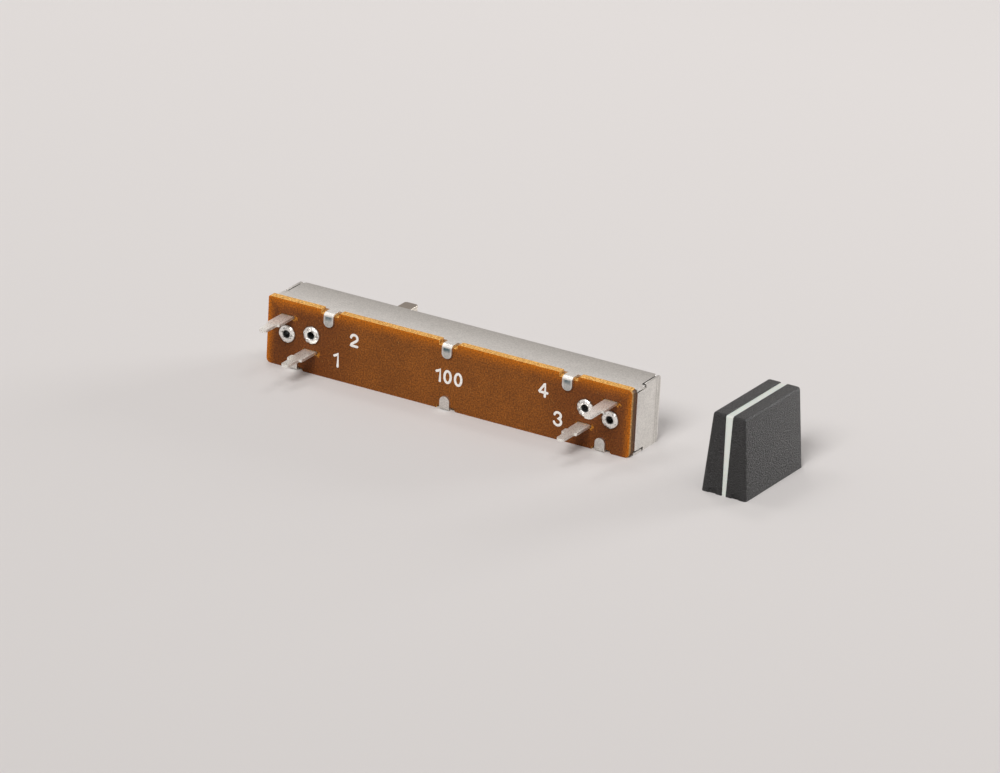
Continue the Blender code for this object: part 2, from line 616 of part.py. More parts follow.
def make_terminal(number):
    """A terminal: a foot under its eyelet, folded to a leg that leaves through the board."""
    along, up, foot_way = leg_spot(number)
    eyelet_along, eyelet_up = eyelet_spot(number)
    arc = (TERMINAL_FOLD + TERMINAL_SHEET / 2) * math.pi / 2
    fold_line = up + foot_way * (TERMINAL_SHEET / 2 + TERMINAL_FOLD)
    half_leg, half_neck = LEG_WIDTH / 2, NECK_WIDTH / 2
    splay = math.radians(LEG_SPLAY[number])

    def on_leg(across, reach):
        """A point of the flat leg, by its distance from the board's front."""
        if reach > 0.0:
            cosine, sine = math.cos(splay), math.sin(splay)
            across, reach = across * cosine + reach * sine, reach * cosine - across * sine
        run = arc + (FOOT_FACE - BOARD_FRONT) - TERMINAL_FOLD + reach
        return along + across, fold_line - foot_way * run

    left = [(-half_leg, SHOULDER_REACH - SHOULDER_RUN / 2, SMALL_ROUND)]
    if foot_way > 0:
        left = [
            (-half_leg, BARB_START - BARB_NOTCH_RUN - BARB_NOTCH / 2, FINE_ROUND),
            (-half_leg + BARB_NOTCH, BARB_START - BARB_NOTCH / 2, FINE_ROUND),
            (-half_leg - BARB_WIDTH, BARB_START + BARB_NOTCH, FINE_ROUND),
            (-half_leg - BARB_WIDTH + SHOULDER_HOOK, BARB_END, CORNER_ROUND),
        ]
    tip_round = half_neck - FINE_ROUND
    leg = [
        (half_leg, SHOULDER_REACH, FINE_ROUND),
        (half_neck + SHOULDER_HOOK, SHOULDER_REACH + SHOULDER_RUN, FINE_ROUND),
        (half_neck, TERMINAL_REACH, tip_round), (-half_neck, TERMINAL_REACH, tip_round),
        (-half_neck - SHOULDER_HOOK, BARB_END + SHOULDER_RUN, SMALL_ROUND),
        *left[::-1],
    ]
    foot_end = eyelet_up + foot_way * FOOT_RADIUS
    foot_round = FOOT_RADIUS - FINE_ROUND
    hip = fold_line + foot_way * FOOT_HIP
    corners = [
        (along - half_leg, fold_line, FINE_ROUND),
        (eyelet_along - FOOT_RADIUS, hip, SMALL_ROUND),
        (eyelet_along - FOOT_RADIUS, foot_end, foot_round),
        (eyelet_along + FOOT_RADIUS, foot_end, foot_round),
        (eyelet_along + FOOT_RADIUS, hip, SMALL_ROUND),
        (along + half_leg, fold_line, FINE_ROUND),
    ]
    corners += [(*on_leg(across, reach), radius) for across, reach, radius in leg]
    hole = circle(eyelet_along, eyelet_up, FOOT_HOLE_RADIUS, SMALL_HOLE_STEPS)
    bm = blank(rounded(corners), [hole], TERMINAL_SHEET, FOOT_FACE)
    fold(
        bm, lambda co: foot_way * (fold_line - co.z) > -SLACK,
        (0.0, FOOT_FACE, fold_line), (0.0, 0.0, -foot_way), (0.0, -1.0, 0.0),
        TERMINAL_FOLD, TERMINAL_SHEET,
    )
    return finish(f"terminal_{number}", bm, "tinned_brass")


def make_eyelet(number):
    """A tubular eyelet with its head inside and its split, rolled end on the board's front."""
    barrel = EYELET_BORE_RADIUS + EYELET_WALL
    head_base = FOOT_FACE + TERMINAL_SHEET + SEAT
    curl_base = BOARD_FRONT - SEAT
    head_top = head_base + EYELET_HEAD
    crest = curl_base - EYELET_CURL
    profile = [
        (EYELET_BORE_RADIUS, head_base),
        (EYELET_BORE_RADIUS + EYELET_MOUTH, head_top),
        (EYELET_HEAD_RADIUS - EYELET_MOUTH / 2, head_top),
        (EYELET_HEAD_RADIUS, head_base + EYELET_HEAD / 2),
        (EYELET_HEAD_RADIUS - EYELET_EDGE, head_base),
        (barrel, head_base),
        (barrel, curl_base),
        (EYELET_CURL_RADIUS, curl_base),
        (EYELET_CURL_RADIUS - EYELET_EDGE, curl_base - EYELET_CURL / 2),
        (EYELET_CURL_RADIUS - EYELET_CREST, crest + EYELET_EDGE),
        (barrel + EYELET_EDGE, crest),
        (EYELET_BORE_RADIUS + EYELET_EDGE, crest + EYELET_CURL / 4),
        (EYELET_BORE_RADIUS, curl_base),
    ]
    bm = bmesh.new()
    verts = [bm.verts.new((radius, level, 0.0)) for radius, level in profile]
    edges = [bm.edges.new(pair) for pair in zip(verts, verts[1:] + verts[:1])]
    bmesh.ops.spin(
        bm, geom=verts + edges, cent=(0.0, 0.0, 0.0), axis=(0.0, 1.0, 0.0), angle=2 * math.pi,
        steps=EYELET_STEPS, use_merge=True,
    )
    bmesh.ops.remove_doubles(bm, verts=bm.verts[:], dist=HAIR)
    for vert in bm.verts:
        radius = math.hypot(vert.co.x, vert.co.z)
        if vert.co.y > curl_base + HAIR or radius < EYELET_BORE_RADIUS + HAIR:
            continue
        turn = math.atan2(vert.co.z, vert.co.x) + number
        share = (radius - EYELET_BORE_RADIUS) / (EYELET_CURL_RADIUS - EYELET_BORE_RADIUS)
        ripple = (math.sin(3 * turn + number) + math.sin(5 * turn - 2 * number)) / 2
        pull = 1.0 - share * EYELET_RIPPLE * ripple
        vert.co.x *= pull
        vert.co.z *= pull
        if vert.co.y < curl_base - HAIR:
            split = max(0.0, math.cos(EYELET_SPLITS * turn)) ** EYELET_SPLIT_SHARPNESS
            vert.co.y += EYELET_SPLIT_DEPTH * split * (1.0 - share)
    along, up = eyelet_spot(number)
    return finish(f"eyelet_{number}", bm, "plated_brass", location=(along, 0.0, up))


def make_lever(carriage):
    """The steel lever with its wide foot."""
    half, foot = LEVER_WIDTH / 2, LEVER_FOOT_WIDTH / 2
    base = BLOCK_FACE + SEAT
    tip = SLOT_FACE + LEVER_REACH
    chamfer = LEVER_TIP_CHAMFER
    shoulder = base + LEVER_FOOT_DEPTH
    corners = [
        (-foot, base, CORNER_ROUND), (foot, base, CORNER_ROUND), (foot, shoulder, CORNER_ROUND),
        (half, shoulder, 0.0), (half, tip - chamfer, 0.0), (half - chamfer, tip, 0.0),
        (chamfer - half, tip, 0.0), (-half, tip - chamfer, 0.0), (-half, shoulder, 0.0),
        (-foot, shoulder, CORNER_ROUND),
    ]
    bm = blank(rounded(corners), [], LEVER_THICKNESS)
    for vert in bm.verts:
        vert.co = (vert.co.x, vert.co.z, MIDDLE + LEVER_THICKNESS / 2 - vert.co.y)
    return finish("lever", bm, "lever_steel", carriage)


def make_block(carriage):
    """The moulded block with its running shoes, lever seat, pockets and staked pins."""
    half = BLOCK_LENGTH / 2
    low, high = SHEET + BLOCK_PLAY, CASE_HEIGHT - SHEET - BLOCK_PLAY
    shoe = half - BLOCK_SHOE
    waist = shoe - BLOCK_RELIEF
    waist_low, waist_high = low + BLOCK_RELIEF, high - BLOCK_RELIEF
    corners = [
        (-half, low, BLOCK_CORNER), (-shoe, low, 0.0), (-waist, waist_low, 0.0),
        (waist, waist_low, 0.0), (shoe, low, 0.0), (half, low, BLOCK_CORNER),
        (half, high, BLOCK_CORNER), (shoe, high, 0.0), (waist, waist_high, 0.0),
        (-waist, waist_high, 0.0), (-shoe, high, 0.0), (-half, high, BLOCK_CORNER),
    ]
    bm = blank(rounded(corners), [], BLOCK_REAR - BLOCK_FACE, BLOCK_FACE)
    block = finish("slider_block", bm, "acetal", carriage)
    gap = LEVER_SETTING
    lever_low = MIDDLE - LEVER_THICKNESS / 2 - gap
    lever_high = MIDDLE + LEVER_THICKNESS / 2 + gap
    foot = LEVER_FOOT_WIDTH / 2 + gap
    neck = LEVER_WIDTH / 2 + gap
    seat = BLOCK_FACE + SEAT + LEVER_FOOT_DEPTH + gap
    seat_outline = [
        (-foot, BLOCK_FACE - OVERCUT), (foot, BLOCK_FACE - OVERCUT), (foot, seat), (neck, seat),
        (neck, BLOCK_REAR + OVERCUT), (-neck, BLOCK_REAR + OVERCUT), (-neck, seat), (-foot, seat),
    ]
    bm = blank([Vector(point) for point in seat_outline], [], lever_high - lever_low)
    for vert in bm.verts:
        vert.co = (vert.co.x, vert.co.z, lever_high - vert.co.y)
    carve(block, bm)
    for side in (-1, 1):
        across = MIDDLE + side * (LEVER_THICKNESS / 2 + BLOCK_RIB)
        edge = (high if side > 0 else low) - side * (BLOCK_RELIEF + BLOCK_RIB)
        for end in (-1, 1):
            inner = end * BLOCK_RIB / 2
            outer = end * (half - BLOCK_RIB)
            carve(block, box(
                (min(inner, outer), BLOCK_REAR - BLOCK_POCKET, min(across, edge)),
                (max(inner, outer), BLOCK_REAR + OVERCUT, max(across, edge)),
            ))
    for side in (-1, 1):
        place = (side * STAKE_ALONG, MIDDLE - side * STAKE_ACROSS)
        pin_outline = circle(*place, STAKE_RADIUS, SMALL_HOLE_STEPS)
        carve(block, blank(pin_outline, [], STAKE_PIN, BRUSH_FACE - 2 * SEAT), "UNION")
        head_level = BRUSH_FACE - SEAT - STAKE_HEAD
        head_outline = circle(*place, STAKE_HEAD_RADIUS, SMALL_HOLE_STEPS)
        head = blank(head_outline, [], STAKE_HEAD, head_level)
        crown = [vert for vert in head.verts if vert.co.y < head_level + HAIR]
        for vert in crown:
            vert.co.x = place[0] + (vert.co.x - place[0]) * STAKE_CROWN
            vert.co.z = place[1] + (vert.co.z - place[1]) * STAKE_CROWN
        carve(block, head, "UNION")
    return block


def make_brush(carriage):
    """The wiper: a plate staked to the block, with two rows of sprung fingers."""
    pitch = FINGER_WIDTH + FINGER_GAP
    half_plate = BRUSH_LENGTH / 2
    root = half_plate - BRUSH_SPINE / 2
    spine_edge = root + BRUSH_SPINE
    fold_start = root - BRUSH_FOLD / 2
    drop = BRUSH_FACE - TRACK_FACE - CONTACT_GAP
    curves = (2 * BRUSH_FOLD + BRUSH_SHEET) * (1 - math.cos(FINGER_SLOPE))
    run = (drop - curves) / math.sin(FINGER_SLOPE) + (BRUSH_FOLD + BRUSH_SHEET / 2) * FINGER_SLOPE
    tip_line = fold_start - run
    finger_end = tip_line - FINGER_TIP
    carbon_half = (CARBON_FINGERS * pitch - FINGER_GAP) / 2
    collector_half = (COLLECTOR_FINGERS * pitch - FINGER_GAP) / 2
    plate_low = CARBON_LEVEL + carbon_half + 2 * FINGER_GAP
    plate_high = COLLECTOR_LEVEL - collector_half - 2 * FINGER_GAP

    def fingers(middle, count):
        """Corners of a row of fingers, from its upper edge down."""
        corners = []
        for finger in range(count):
            centre = middle + ((count - 1) / 2 - finger) * pitch
            near, far = centre + FINGER_WIDTH / 2, centre - FINGER_WIDTH / 2
            corners += [(root, near, 0.0), (finger_end, near, FINE_ROUND)]
            corners += [(finger_end, far, FINE_ROUND), (root, far, 0.0)]
        return corners

    corners = [
        (spine_edge, COLLECTOR_LEVEL + collector_half, CORNER_ROUND),
        *fingers(COLLECTOR_LEVEL, COLLECTOR_FINGERS),
    ]
    corners += [
        (root, plate_high, SMALL_ROUND), (-half_plate, plate_high, CORNER_ROUND),
        (-half_plate, plate_low, CORNER_ROUND), (root, plate_low, SMALL_ROUND),
    ]
    corners += fingers(CARBON_LEVEL, CARBON_FINGERS)
    corners.append((spine_edge, CARBON_LEVEL - carbon_half, CORNER_ROUND))
    hole_radius = STAKE_RADIUS + BRUSH_HOLE_PLAY
    holes = [
        circle(side * STAKE_ALONG, MIDDLE - side * STAKE_ACROSS, hole_radius, SMALL_HOLE_STEPS)
        for side in (-1, 1)
    ]
    bm = blank(rounded(corners), holes, BRUSH_SHEET, BRUSH_FACE)

    def in_rows(co):
        return not plate_low - SLACK < co.z < plate_high + SLACK

    fold(
        bm, lambda co: in_rows(co) and co.x < tip_line + SLACK,
        (tip_line, BRUSH_FACE + BRUSH_SHEET, 0.0), (-1.0, 0.0, 0.0), (0.0, 1.0, 0.0),
        BRUSH_FOLD, BRUSH_SHEET, FINGER_TIP_ANGLE, SMALL_FOLD_STEPS,
    )
    fold(
        bm, lambda co: in_rows(co) and co.x < fold_start + SLACK,
        (fold_start, BRUSH_FACE, 0.0), (-1.0, 0.0, 0.0), (0.0, -1.0, 0.0),
        BRUSH_FOLD, BRUSH_SHEET, FINGER_SLOPE, SMALL_FOLD_STEPS,
    )
    return finish("brush", bm, "nickel_silver", carriage)


def make_drag_spring(carriage):
    """The leaf spring that hooks over the block and bows against the slot face."""
    level = BLOCK_REAR + SEAT
    half = BLOCK_LENGTH / 2 + SPRING_END_PLAY
    half_window = SPRING_WINDOW_LENGTH / 2
    rail_inner = SPRING_WINDOW_HEIGHT / 2
    rail_outer = rail_inner + SPRING_RAIL
    arc = (SPRING_FOLD + SPRING_SHEET / 2) * math.pi / 2
    hook_line = half - SPRING_FOLD
    hook_edge = hook_line + arc + SPRING_HOOK
    rail_end = hook_line - 2 * CORNER_ROUND
    corners = [
        (rail_end, rail_outer, CORNER_ROUND), (rail_end, rail_inner, 0.0),
        (hook_edge, rail_inner, CORNER_ROUND),
    ]
    outline = []
    for sx, sz in ((1, 1), (1, -1), (-1, -1), (-1, 1)):
        turned = [(sx * x, sz * z, radius) for x, z, radius in corners]
        outline += turned if sx * sz > 0 else turned[::-1]
    window = rectangle(0.0, 0.0, SPRING_WINDOW_LENGTH, SPRING_WINDOW_HEIGHT, CORNER_ROUND)
    bm = blank(rounded(outline), [window], SPRING_SHEET)
    rise = SLOT_FACE - SHEET - CONTACT_GAP - level - SPRING_SHEET

    def on_rail(co):
        return abs(co.z) > rail_inner - SLACK and abs(co.x) < half_window

    for step in range(1, SPRING_STEPS):
        place = half_window * (2 * step / SPRING_STEPS - 1)
        slice_across(bm, on_rail, (place, 0.0, 0.0), (1.0, 0.0, 0.0))
    for vert in bm.verts:
        if on_rail(vert.co):
            vert.co.y += rise * (1 + math.cos(math.pi * vert.co.x / half_window)) / 2
    for end in (1, -1):
        fold(
            bm, lambda co: end * co.x > hook_line - SLACK,
            (end * hook_line, 0.0, 0.0), (end, 0.0, 0.0), (0.0, -1.0, 0.0),
            SPRING_FOLD, SPRING_SHEET, steps=SMALL_FOLD_STEPS,
        )
    bmesh.ops.translate(bm, verts=bm.verts[:], vec=(0.0, level, MIDDLE))
    return finish("drag_spring", bm, "spring_steel", carriage)


def line_solid(gap, stand_out):
    """The insert's shape, an arch over the cap, grown by a gap and standing out further."""
    inset = LINE_RECESS - stand_out
    half_base, half_top = KNOB_BASE_LENGTH / 2 - inset, KNOB_TOP_LENGTH / 2 - inset
    top = KNOB_HEIGHT - inset
    thickness = LINE_THICKNESS + gap + stand_out
    foot = -stand_out
    inner_base, inner_top = half_base - thickness, half_top - thickness
    corners = [
        (-half_base, foot, 0.0), (-half_top, top, CORNER_ROUND), (half_top, top, CORNER_ROUND),
        (half_base, foot, 0.0), (inner_base, foot, 0.0), (inner_top, top - thickness, SMALL_ROUND),
        (-inner_top, top - thickness, SMALL_ROUND), (-inner_base, foot, 0.0),
    ]
    bm = blank(rounded(corners), [], LINE_TOP_WIDTH, -LINE_TOP_WIDTH / 2)
    for vert in bm.verts:
        share = vert.co.z / KNOB_HEIGHT
        width = LINE_BASE_WIDTH + (LINE_TOP_WIDTH - LINE_BASE_WIDTH) * share + 2 * gap
        vert.co = (-math.copysign(width / 2, vert.co.y), vert.co.x, vert.co.z)
    return bm


def make_knob(place):
    """The black cap with its socket and the white insert in its groove."""
    base, top = (KNOB_BASE_WIDTH, KNOB_BASE_LENGTH), (KNOB_TOP_WIDTH, KNOB_TOP_LENGTH)
    bm = tapered_box(base, top, KNOB_HEIGHT)
    edges = [edge for edge in bm.edges if any(vert.co.z > KNOB_HEIGHT / 2 for vert in edge.verts)]
    bmesh.ops.bevel(bm, geom=edges, offset=KNOB_ROUND, segments=3, profile=0.5, affect="EDGES")
    cap = finish("knob_cap", bm, "black_abs", place)
    ceiling = KNOB_HEIGHT - KNOB_ROOF
    socket = LEVER_THICKNESS / 2 + KNOB_SOCKET_WALL

    def half_inside(axis, height):
        """Half of the cap's inner size at a height."""
        return (base[axis] + (top[axis] - base[axis]) * height / KNOB_HEIGHT) / 2 - KNOB_WALL

    lengths = [half_inside(1, height) - socket for height in (0.0, ceiling)]
    widths = [2 * half_inside(0, height) for height in (0.0, ceiling)]
    for side in (-1, 1):
        chamber = tapered_box((widths[0], lengths[0]), (widths[1], lengths[1]), ceiling)
        for vert in chamber.verts:
            length = lengths[0] + (lengths[1] - lengths[0]) * vert.co.z / ceiling
            vert.co.y += side * (socket + length / 2)
            if vert.co.z < SLACK:
                vert.co.z = -OVERCUT
        carve(cap, chamber)
    half_width = LEVER_WIDTH / 2 + KNOB_GRIP
    half_thickness = LEVER_THICKNESS / 2 + KNOB_GRIP
    low = (-half_width, -half_thickness, -OVERCUT)
    carve(cap, box(low, (half_width, half_thickness, KNOB_SOCKET_DEPTH)))
    gate_floor = KNOB_BASE_LENGTH / 2 - KNOB_GATE_DEPTH
    for side in (-1, 1):
        start, end = sorted((side * LEVER_THICKNESS / 4, side * (socket + OVERCUT)))
        carve(cap, box((-KNOB_SLIT / 2, start, -OVERCUT), (KNOB_SLIT / 2, end, KNOB_SLIT_HEIGHT)))
        start, end = sorted((side * gate_floor, side * (gate_floor + OVERCUT)))
        for way in (-1, 1):
            middle = way * KNOB_GATE_PITCH / 2
            left, right = middle - KNOB_GATE_WIDTH / 2, middle + KNOB_GATE_WIDTH / 2
            carve(cap, box((left, start, -OVERCUT), (right, end, KNOB_GATE_HEIGHT)))
    carve(cap, line_solid(SEAT, OVERCUT))
    finish("knob_line", line_solid(0.0, 0.0), "white_abs", place)


def main():
    """Builds every piece."""
    clear_scene()
    make_case()
    make_board()
    make_tracks()
    for number in (1, 2, 3, 4):
        make_terminal(number)
        make_eyelet(number)
    carriage = empty("carriage", (PARKED, 0.0, 0.0))
    make_lever(carriage)
    make_block(carriage)
    make_brush(carriage)
    make_drag_spring(carriage)
    make_knob(empty("knob_place", (KNOB_PLACE_X, KNOB_PLACE_Y, 0.0), KNOB_TURN))


main()
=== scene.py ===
"""Looks of the slide potentiometer and its cap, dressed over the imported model.

Everything is in metres in the model's frame: +X along the travel, +Y out of the slot face
as the lever points, and +Z up from what the case lies on.
"""

import json
import math

import bmesh
import bpy
from bpy.props import BoolProperty, FloatProperty, FloatVectorProperty, PointerProperty
from mathutils import Matrix, Vector


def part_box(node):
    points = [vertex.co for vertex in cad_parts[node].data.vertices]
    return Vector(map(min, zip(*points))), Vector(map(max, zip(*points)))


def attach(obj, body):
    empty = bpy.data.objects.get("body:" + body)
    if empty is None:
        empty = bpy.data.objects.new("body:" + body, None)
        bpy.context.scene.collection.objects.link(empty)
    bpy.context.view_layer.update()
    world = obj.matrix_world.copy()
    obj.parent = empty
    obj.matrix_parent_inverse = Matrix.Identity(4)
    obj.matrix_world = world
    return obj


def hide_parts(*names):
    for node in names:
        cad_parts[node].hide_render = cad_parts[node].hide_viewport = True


bl_info = {
    "name": "Slide Potentiometer",
    "version": (1, 1, 0),
    "blender": (4, 5, 0),
    "location": "3D View > Sidebar > Potentiometer",
    "description": "Dresses a 60 mm slide potentiometer and its cap",
    "category": "Object",
}

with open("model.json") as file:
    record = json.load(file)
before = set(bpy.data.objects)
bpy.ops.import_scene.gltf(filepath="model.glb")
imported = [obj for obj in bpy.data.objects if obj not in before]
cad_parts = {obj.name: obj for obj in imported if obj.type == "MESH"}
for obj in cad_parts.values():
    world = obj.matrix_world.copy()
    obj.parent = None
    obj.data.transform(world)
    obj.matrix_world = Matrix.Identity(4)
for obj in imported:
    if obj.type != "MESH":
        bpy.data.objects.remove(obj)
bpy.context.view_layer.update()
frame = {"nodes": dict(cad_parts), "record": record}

MM = 0.001
PHOTO_WIDTH = 1000
FLOOR_REACH = 2.5
CASE_LOW, CASE_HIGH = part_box("case_shell")
BOARD_LOW, BOARD_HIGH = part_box("track_board")
# Middle lines of the case's upper tabs, and where their fold ends and their flat front begins
UPPER_TABS = (-24.95 * MM, -0.25 * MM, 24.45 * MM)
TAB_FOLD_END = CASE_HIGH.z - 0.7 * MM
# Where a tab's rim turns pale beside its middle line, and where its dark patch fades below the fold
TAB_RIM = (0.55 * MM, 0.85 * MM)
TAB_FADE = (0.3 * MM, 0.85 * MM)
# Band across the end walls, along Y, in which the darker streaks begin
STREAK_BAND = (1.7 * MM, 2.6 * MM)
# How far the long walls' ends, which face the seams, lie in from the case's ends
SEAM_INSET = 0.7 * MM
# Middles of the eyelets, and how far their rims reach
EYELET_BOXES = [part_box(f"eyelet_{number}") for number in (1, 2, 3, 4)]
EYELETS = [(low + high) / 2 for low, high in EYELET_BOXES]
EYELET_RADIUS = (EYELET_BOXES[0][1].x - EYELET_BOXES[0][0].x) / 2
# How much faster the amber fades in from the board's ends than from its upper edge
END_STEEPNESS = 1.4
# Right ends of the board's slots, where an amber glow is painted on its face
SLOT_ENDS = [Vector((along * MM, 0.0, up * MM)) for along, up in (
    (-32.33, 9.7), (-27.23, 4.1), (29.58, 4.1), (34.68, 9.7)
)]
# A length beyond every place on the model
FAR = 1.0
# Share of a face's direction along an axis from which it counts as facing along it
FACING = 0.6
STEEP_FACING = 0.7
# How near points are joined, how flat faces are merged, and from what angle edges are eased
JOIN_DISTANCE = 0.001 * MM
MERGE_ANGLE = math.radians(0.1)
EASE_ANGLE = math.radians(40)
# Easing of edges: moulded and of the board, of the thin tinned brass, and of the lever's strip
MOULDED_EASE = 0.05 * MM
TINNED_EASE = 0.04 * MM
STRIP_EASE = 0.06 * MM
BODIES = {node: body for body, nodes in frame["record"]["behaviour"]["bodies"].items() for node in nodes}


def linear(code):
    """Turns an sRGB hex colour to linear red, green and blue."""
    shares = [int(code[start:start + 2], 16) / 255 for start in (1, 3, 5)]
    return [share / 12.92 if share <= 0.04045 else ((share + 0.055) / 1.055) ** 2.4 for share in shares]


def colour_prop(name, description, code):
    """A colour that a user can change."""
    return FloatVectorProperty(
        name=name, description=description, subtype="COLOR", size=3, min=0.0, max=1.0, default=linear(code)
    )


def length_prop(name, description, millimetres):
    """A length that a user can change."""
    return FloatProperty(name=name, description=description, default=millimetres * MM, min=0.0, unit="LENGTH")


class CaseSettings(bpy.types.PropertyGroup):
    plating: colour_prop("Plating", "Zinc plating of the folded case", "#D7D4CF")
    bloom: colour_prop("Bloom", "Paler clouds in the plating", "#E5E2DD")
    # Painted reflection: the long walls darken towards the slot face in this colour, and the ends' darker
    # streaks share it
    back_shade_and_streaks: colour_prop("Handled", "Duller plating towards the slot face", "#B4B0AA")
    # A darker band just below each upper tab's fold, fading downwards and towards its rims
    tab_band: colour_prop("Clinched", "Darker plating where the tabs were folded over", "#5D7278")
    # Colours the long walls' ends at the seams: unplated sheared steel, darkened further as painted seam
    # shade
    unplated_and_seam_shade: colour_prop("Bare steel", "Sheared sheet edges, where the plating was cut through", "#3E3B39")
    edge_ease: length_prop("Eased edge", "Rounding left on sheared sheet edges", 0.07)


class BoardSettings(bpy.types.PropertyGroup):
    resin: colour_prop("Resin", "Face of the phenolic board", "#824A16")
    resin_deep: colour_prop("Deep resin", "Darker patches of its face", "#774314")
    resin_red: colour_prop("Red resin", "Redder resin towards the board's ends", "#66350F")
    fibre: colour_prop("Fibre", "Paper fibres that show in the resin", "#9B6D39")
    edge_glow: colour_prop("Edge", "Where light comes through near its sheared edges", "#B56300")
    cut_face: colour_prop("Cut face", "Sheared thickness of the board", "#E9B463")
    # Torn hollows of the sheared thickness, and the painted amber glow at the slots' right ends
    torn_and_slot_glow: colour_prop("Cut hollows", "Torn hollows in the sheared thickness", "#B3721F")
    # Painted shade on the board's sheared ends, and in the shadow ring round each eyelet
    cut_shaded: colour_prop("Cut back", "Sheared ends towards the case", "#4A2A0C")
    glow_depth: length_prop("Edge depth", "How far in from an edge the light shows", 2.6)
    grain: length_prop("Grain", "Size of the mottling in the resin", 0.28)


class PrintSettings(bpy.types.PropertyGroup):
    ink: colour_prop("Ink", "Pale ink of the printed numbers", "#F4F1EC")
    stroke: length_prop("Stroke", "Width of a number's strokes", 0.5)
    thickness: length_prop("Ink thickness", "How far the ink stands on the board", 0.02)


class TerminalSettings(bpy.types.PropertyGroup):
    tin: colour_prop("Tin", "Dull tin plating of the legs", "#F6F4EE")
    pitted: colour_prop("Pits", "Darker pits in the tin", "#A39C92")
    eyelet: colour_prop("Eyelet", "Bright plating of the eyelets", "#F4F2EE")
    tarnish: colour_prop("Tarnish", "Darker marks left by the setting tool", "#8C8B86")
    # Painted shade inside an eyelet's tube
    bore_shade: colour_prop("Hollow", "Dull inside of an eyelet's tube", "#2B2C2B")


class SliderSettings(bpy.types.PropertyGroup):
    strip: colour_prop("Strip", "Flat sides of the lever's steel strip", "#968C81")
    sheared: colour_prop("Sheared side", "Brighter sheared sides of the strip", "#DAD3C8")
    acetal: colour_prop("Acetal", "Natural moulded block", "#E3E0D6")


class CapSettings(bpy.types.PropertyGroup):
    black: colour_prop("Black", "Moulded black of the cap", "#0C0B0B")
    pale: colour_prop("Grain tops", "Paler tops of the moulded grain", "#242323")
    white: colour_prop("White", "Insert along the cap", "#D8DCD5")
    grain: length_prop("Grain", "Size of the moulded texture", 0.26)


class StageSettings(bpy.types.PropertyGroup):
    floor: colour_prop("Floor", "Pale floor", "#D9D5D3")
    shadows: BoolProperty(name="Shadows", description="Lets the lamps cast soft shadows", default=True)


def feed(tree, node, inputs):
    """Sets each input of a node to a value, or links it from a socket.

    Inputs go by name, or by number where a node repeats a name. A Mix node's 0 is its share, 2 and 3
    are its two values, and 6 and 7 are its two colours.
    """
    for key, value in inputs.items():
        socket = node.inputs[key]
        if isinstance(value, bpy.types.NodeSocket):
            tree.links.new(value, socket)
        elif socket.type == "RGBA":
            socket.default_value = (*value[:3], 1.0)
        else:
            socket.default_value = value


def add_node(tree, kind, inputs=None, **settings):
    """Adds a node with its properties and feeds its inputs."""
    node = tree.nodes.new(kind)
    for key, value in settings.items():
        setattr(node, key, value)
    feed(tree, node, inputs or {})
    return node


def start_material(name, **uniform):
    """A new material, its tree, its shader with uniform values, and its texture coordinates."""
    material = bpy.data.materials.new(name)
    material.use_nodes = True
    tree = material.node_tree
    shader = tree.nodes["Principled BSDF"]
    feed(tree, shader, {key.replace("_", " "): value for key, value in uniform.items()})
    return material, tree, shader, add_node(tree, "ShaderNodeTexCoord")


def mottle(tree, coords, size, low, high, middle=0.5, spread=0.15, stretch=(1.0, 1.0, 1.0)):
    """A mottled pattern whose features have a real size in metres.

    It runs from a low to a high value, over a spread on each side of its middle.
    """
    mapped = add_node(tree, "ShaderNodeMapping", {
        "Vector": coords.outputs["Object"], "Scale": [factor / size for factor in stretch],
    })
    noise = add_node(tree, "ShaderNodeTexNoise", {
        "Vector": mapped.outputs["Vector"], "Scale": 1.0, "Detail": 3.0, "Roughness": 0.55,
    })
    return add_node(tree, "ShaderNodeMapRange", {
        "Value": noise.outputs["Fac"], "From Min": middle - spread, "From Max": middle + spread,
        "To Min": low, "To Max": high,
    }).outputs["Result"]


def nearest_distance(tree, coords, points):
    """How far a place is from the nearest of some points, all at its own depth."""
    level = add_node(tree, "ShaderNodeVectorMath", {
        0: coords.outputs["Object"], 1: (1.0, 0.0, 1.0),
    }, operation="MULTIPLY")
    nearest = FAR
    for point in points:
        distance = add_node(tree, "ShaderNodeVectorMath", {
            0: level.outputs["Vector"], 1: (point.x, 0.0, point.z),
        }, operation="DISTANCE")
        nearest = add_node(tree, "ShaderNodeMath", {
            0: nearest, 1: distance.outputs["Value"],
        }, operation="MINIMUM").outputs["Value"]
    return nearest


def toned(tree, colour, tone):
    """A colour made darker or paler by a tone, the same in red, green and blue."""
    grey = add_node(tree, "ShaderNodeCombineColor", {0: tone, 1: tone, 2: tone})
    return add_node(tree, "ShaderNodeMix", {
        0: 1.0, 6: colour, 7: grey.outputs["Color"],
    }, data_type="RGBA", blend_type="MULTIPLY").outputs[2]


def feed_finish(tree, shader, colour, rough, height, relief):
    """Gives a shader its colour, its roughness and a relief whose depth is a real one in metres."""
    bumps = add_node(tree, "ShaderNodeBump", {"Height": height, "Distance": relief})
    feed(tree, shader, {"Base Color": colour, "Roughness": rough, "Normal": bumps.outputs["Normal"]})


def two_tones(
    name, size, pale, deep, rough, relief, middle=0.5, spread=0.15, stretch=(1.0, 1.0, 1.0), **uniform
):
    """A finish that wanders between two colours, and between two roughnesses, with a slight relief."""
    material, tree, shader, coords = start_material(name, **uniform)
    share = mottle(tree, coords, size, 0.0, 1.0, middle, spread, stretch)
    colour = add_node(tree, "ShaderNodeMix", {0: share, 6: deep, 7: pale}, data_type="RGBA")
    gloss = add_node(tree, "ShaderNodeMapRange", {"Value": share, "To Min": rough[1], "To Max": rough[0]})
    feed_finish(tree, shader, colour.outputs[2], gloss.outputs["Result"], share, relief)
    return material


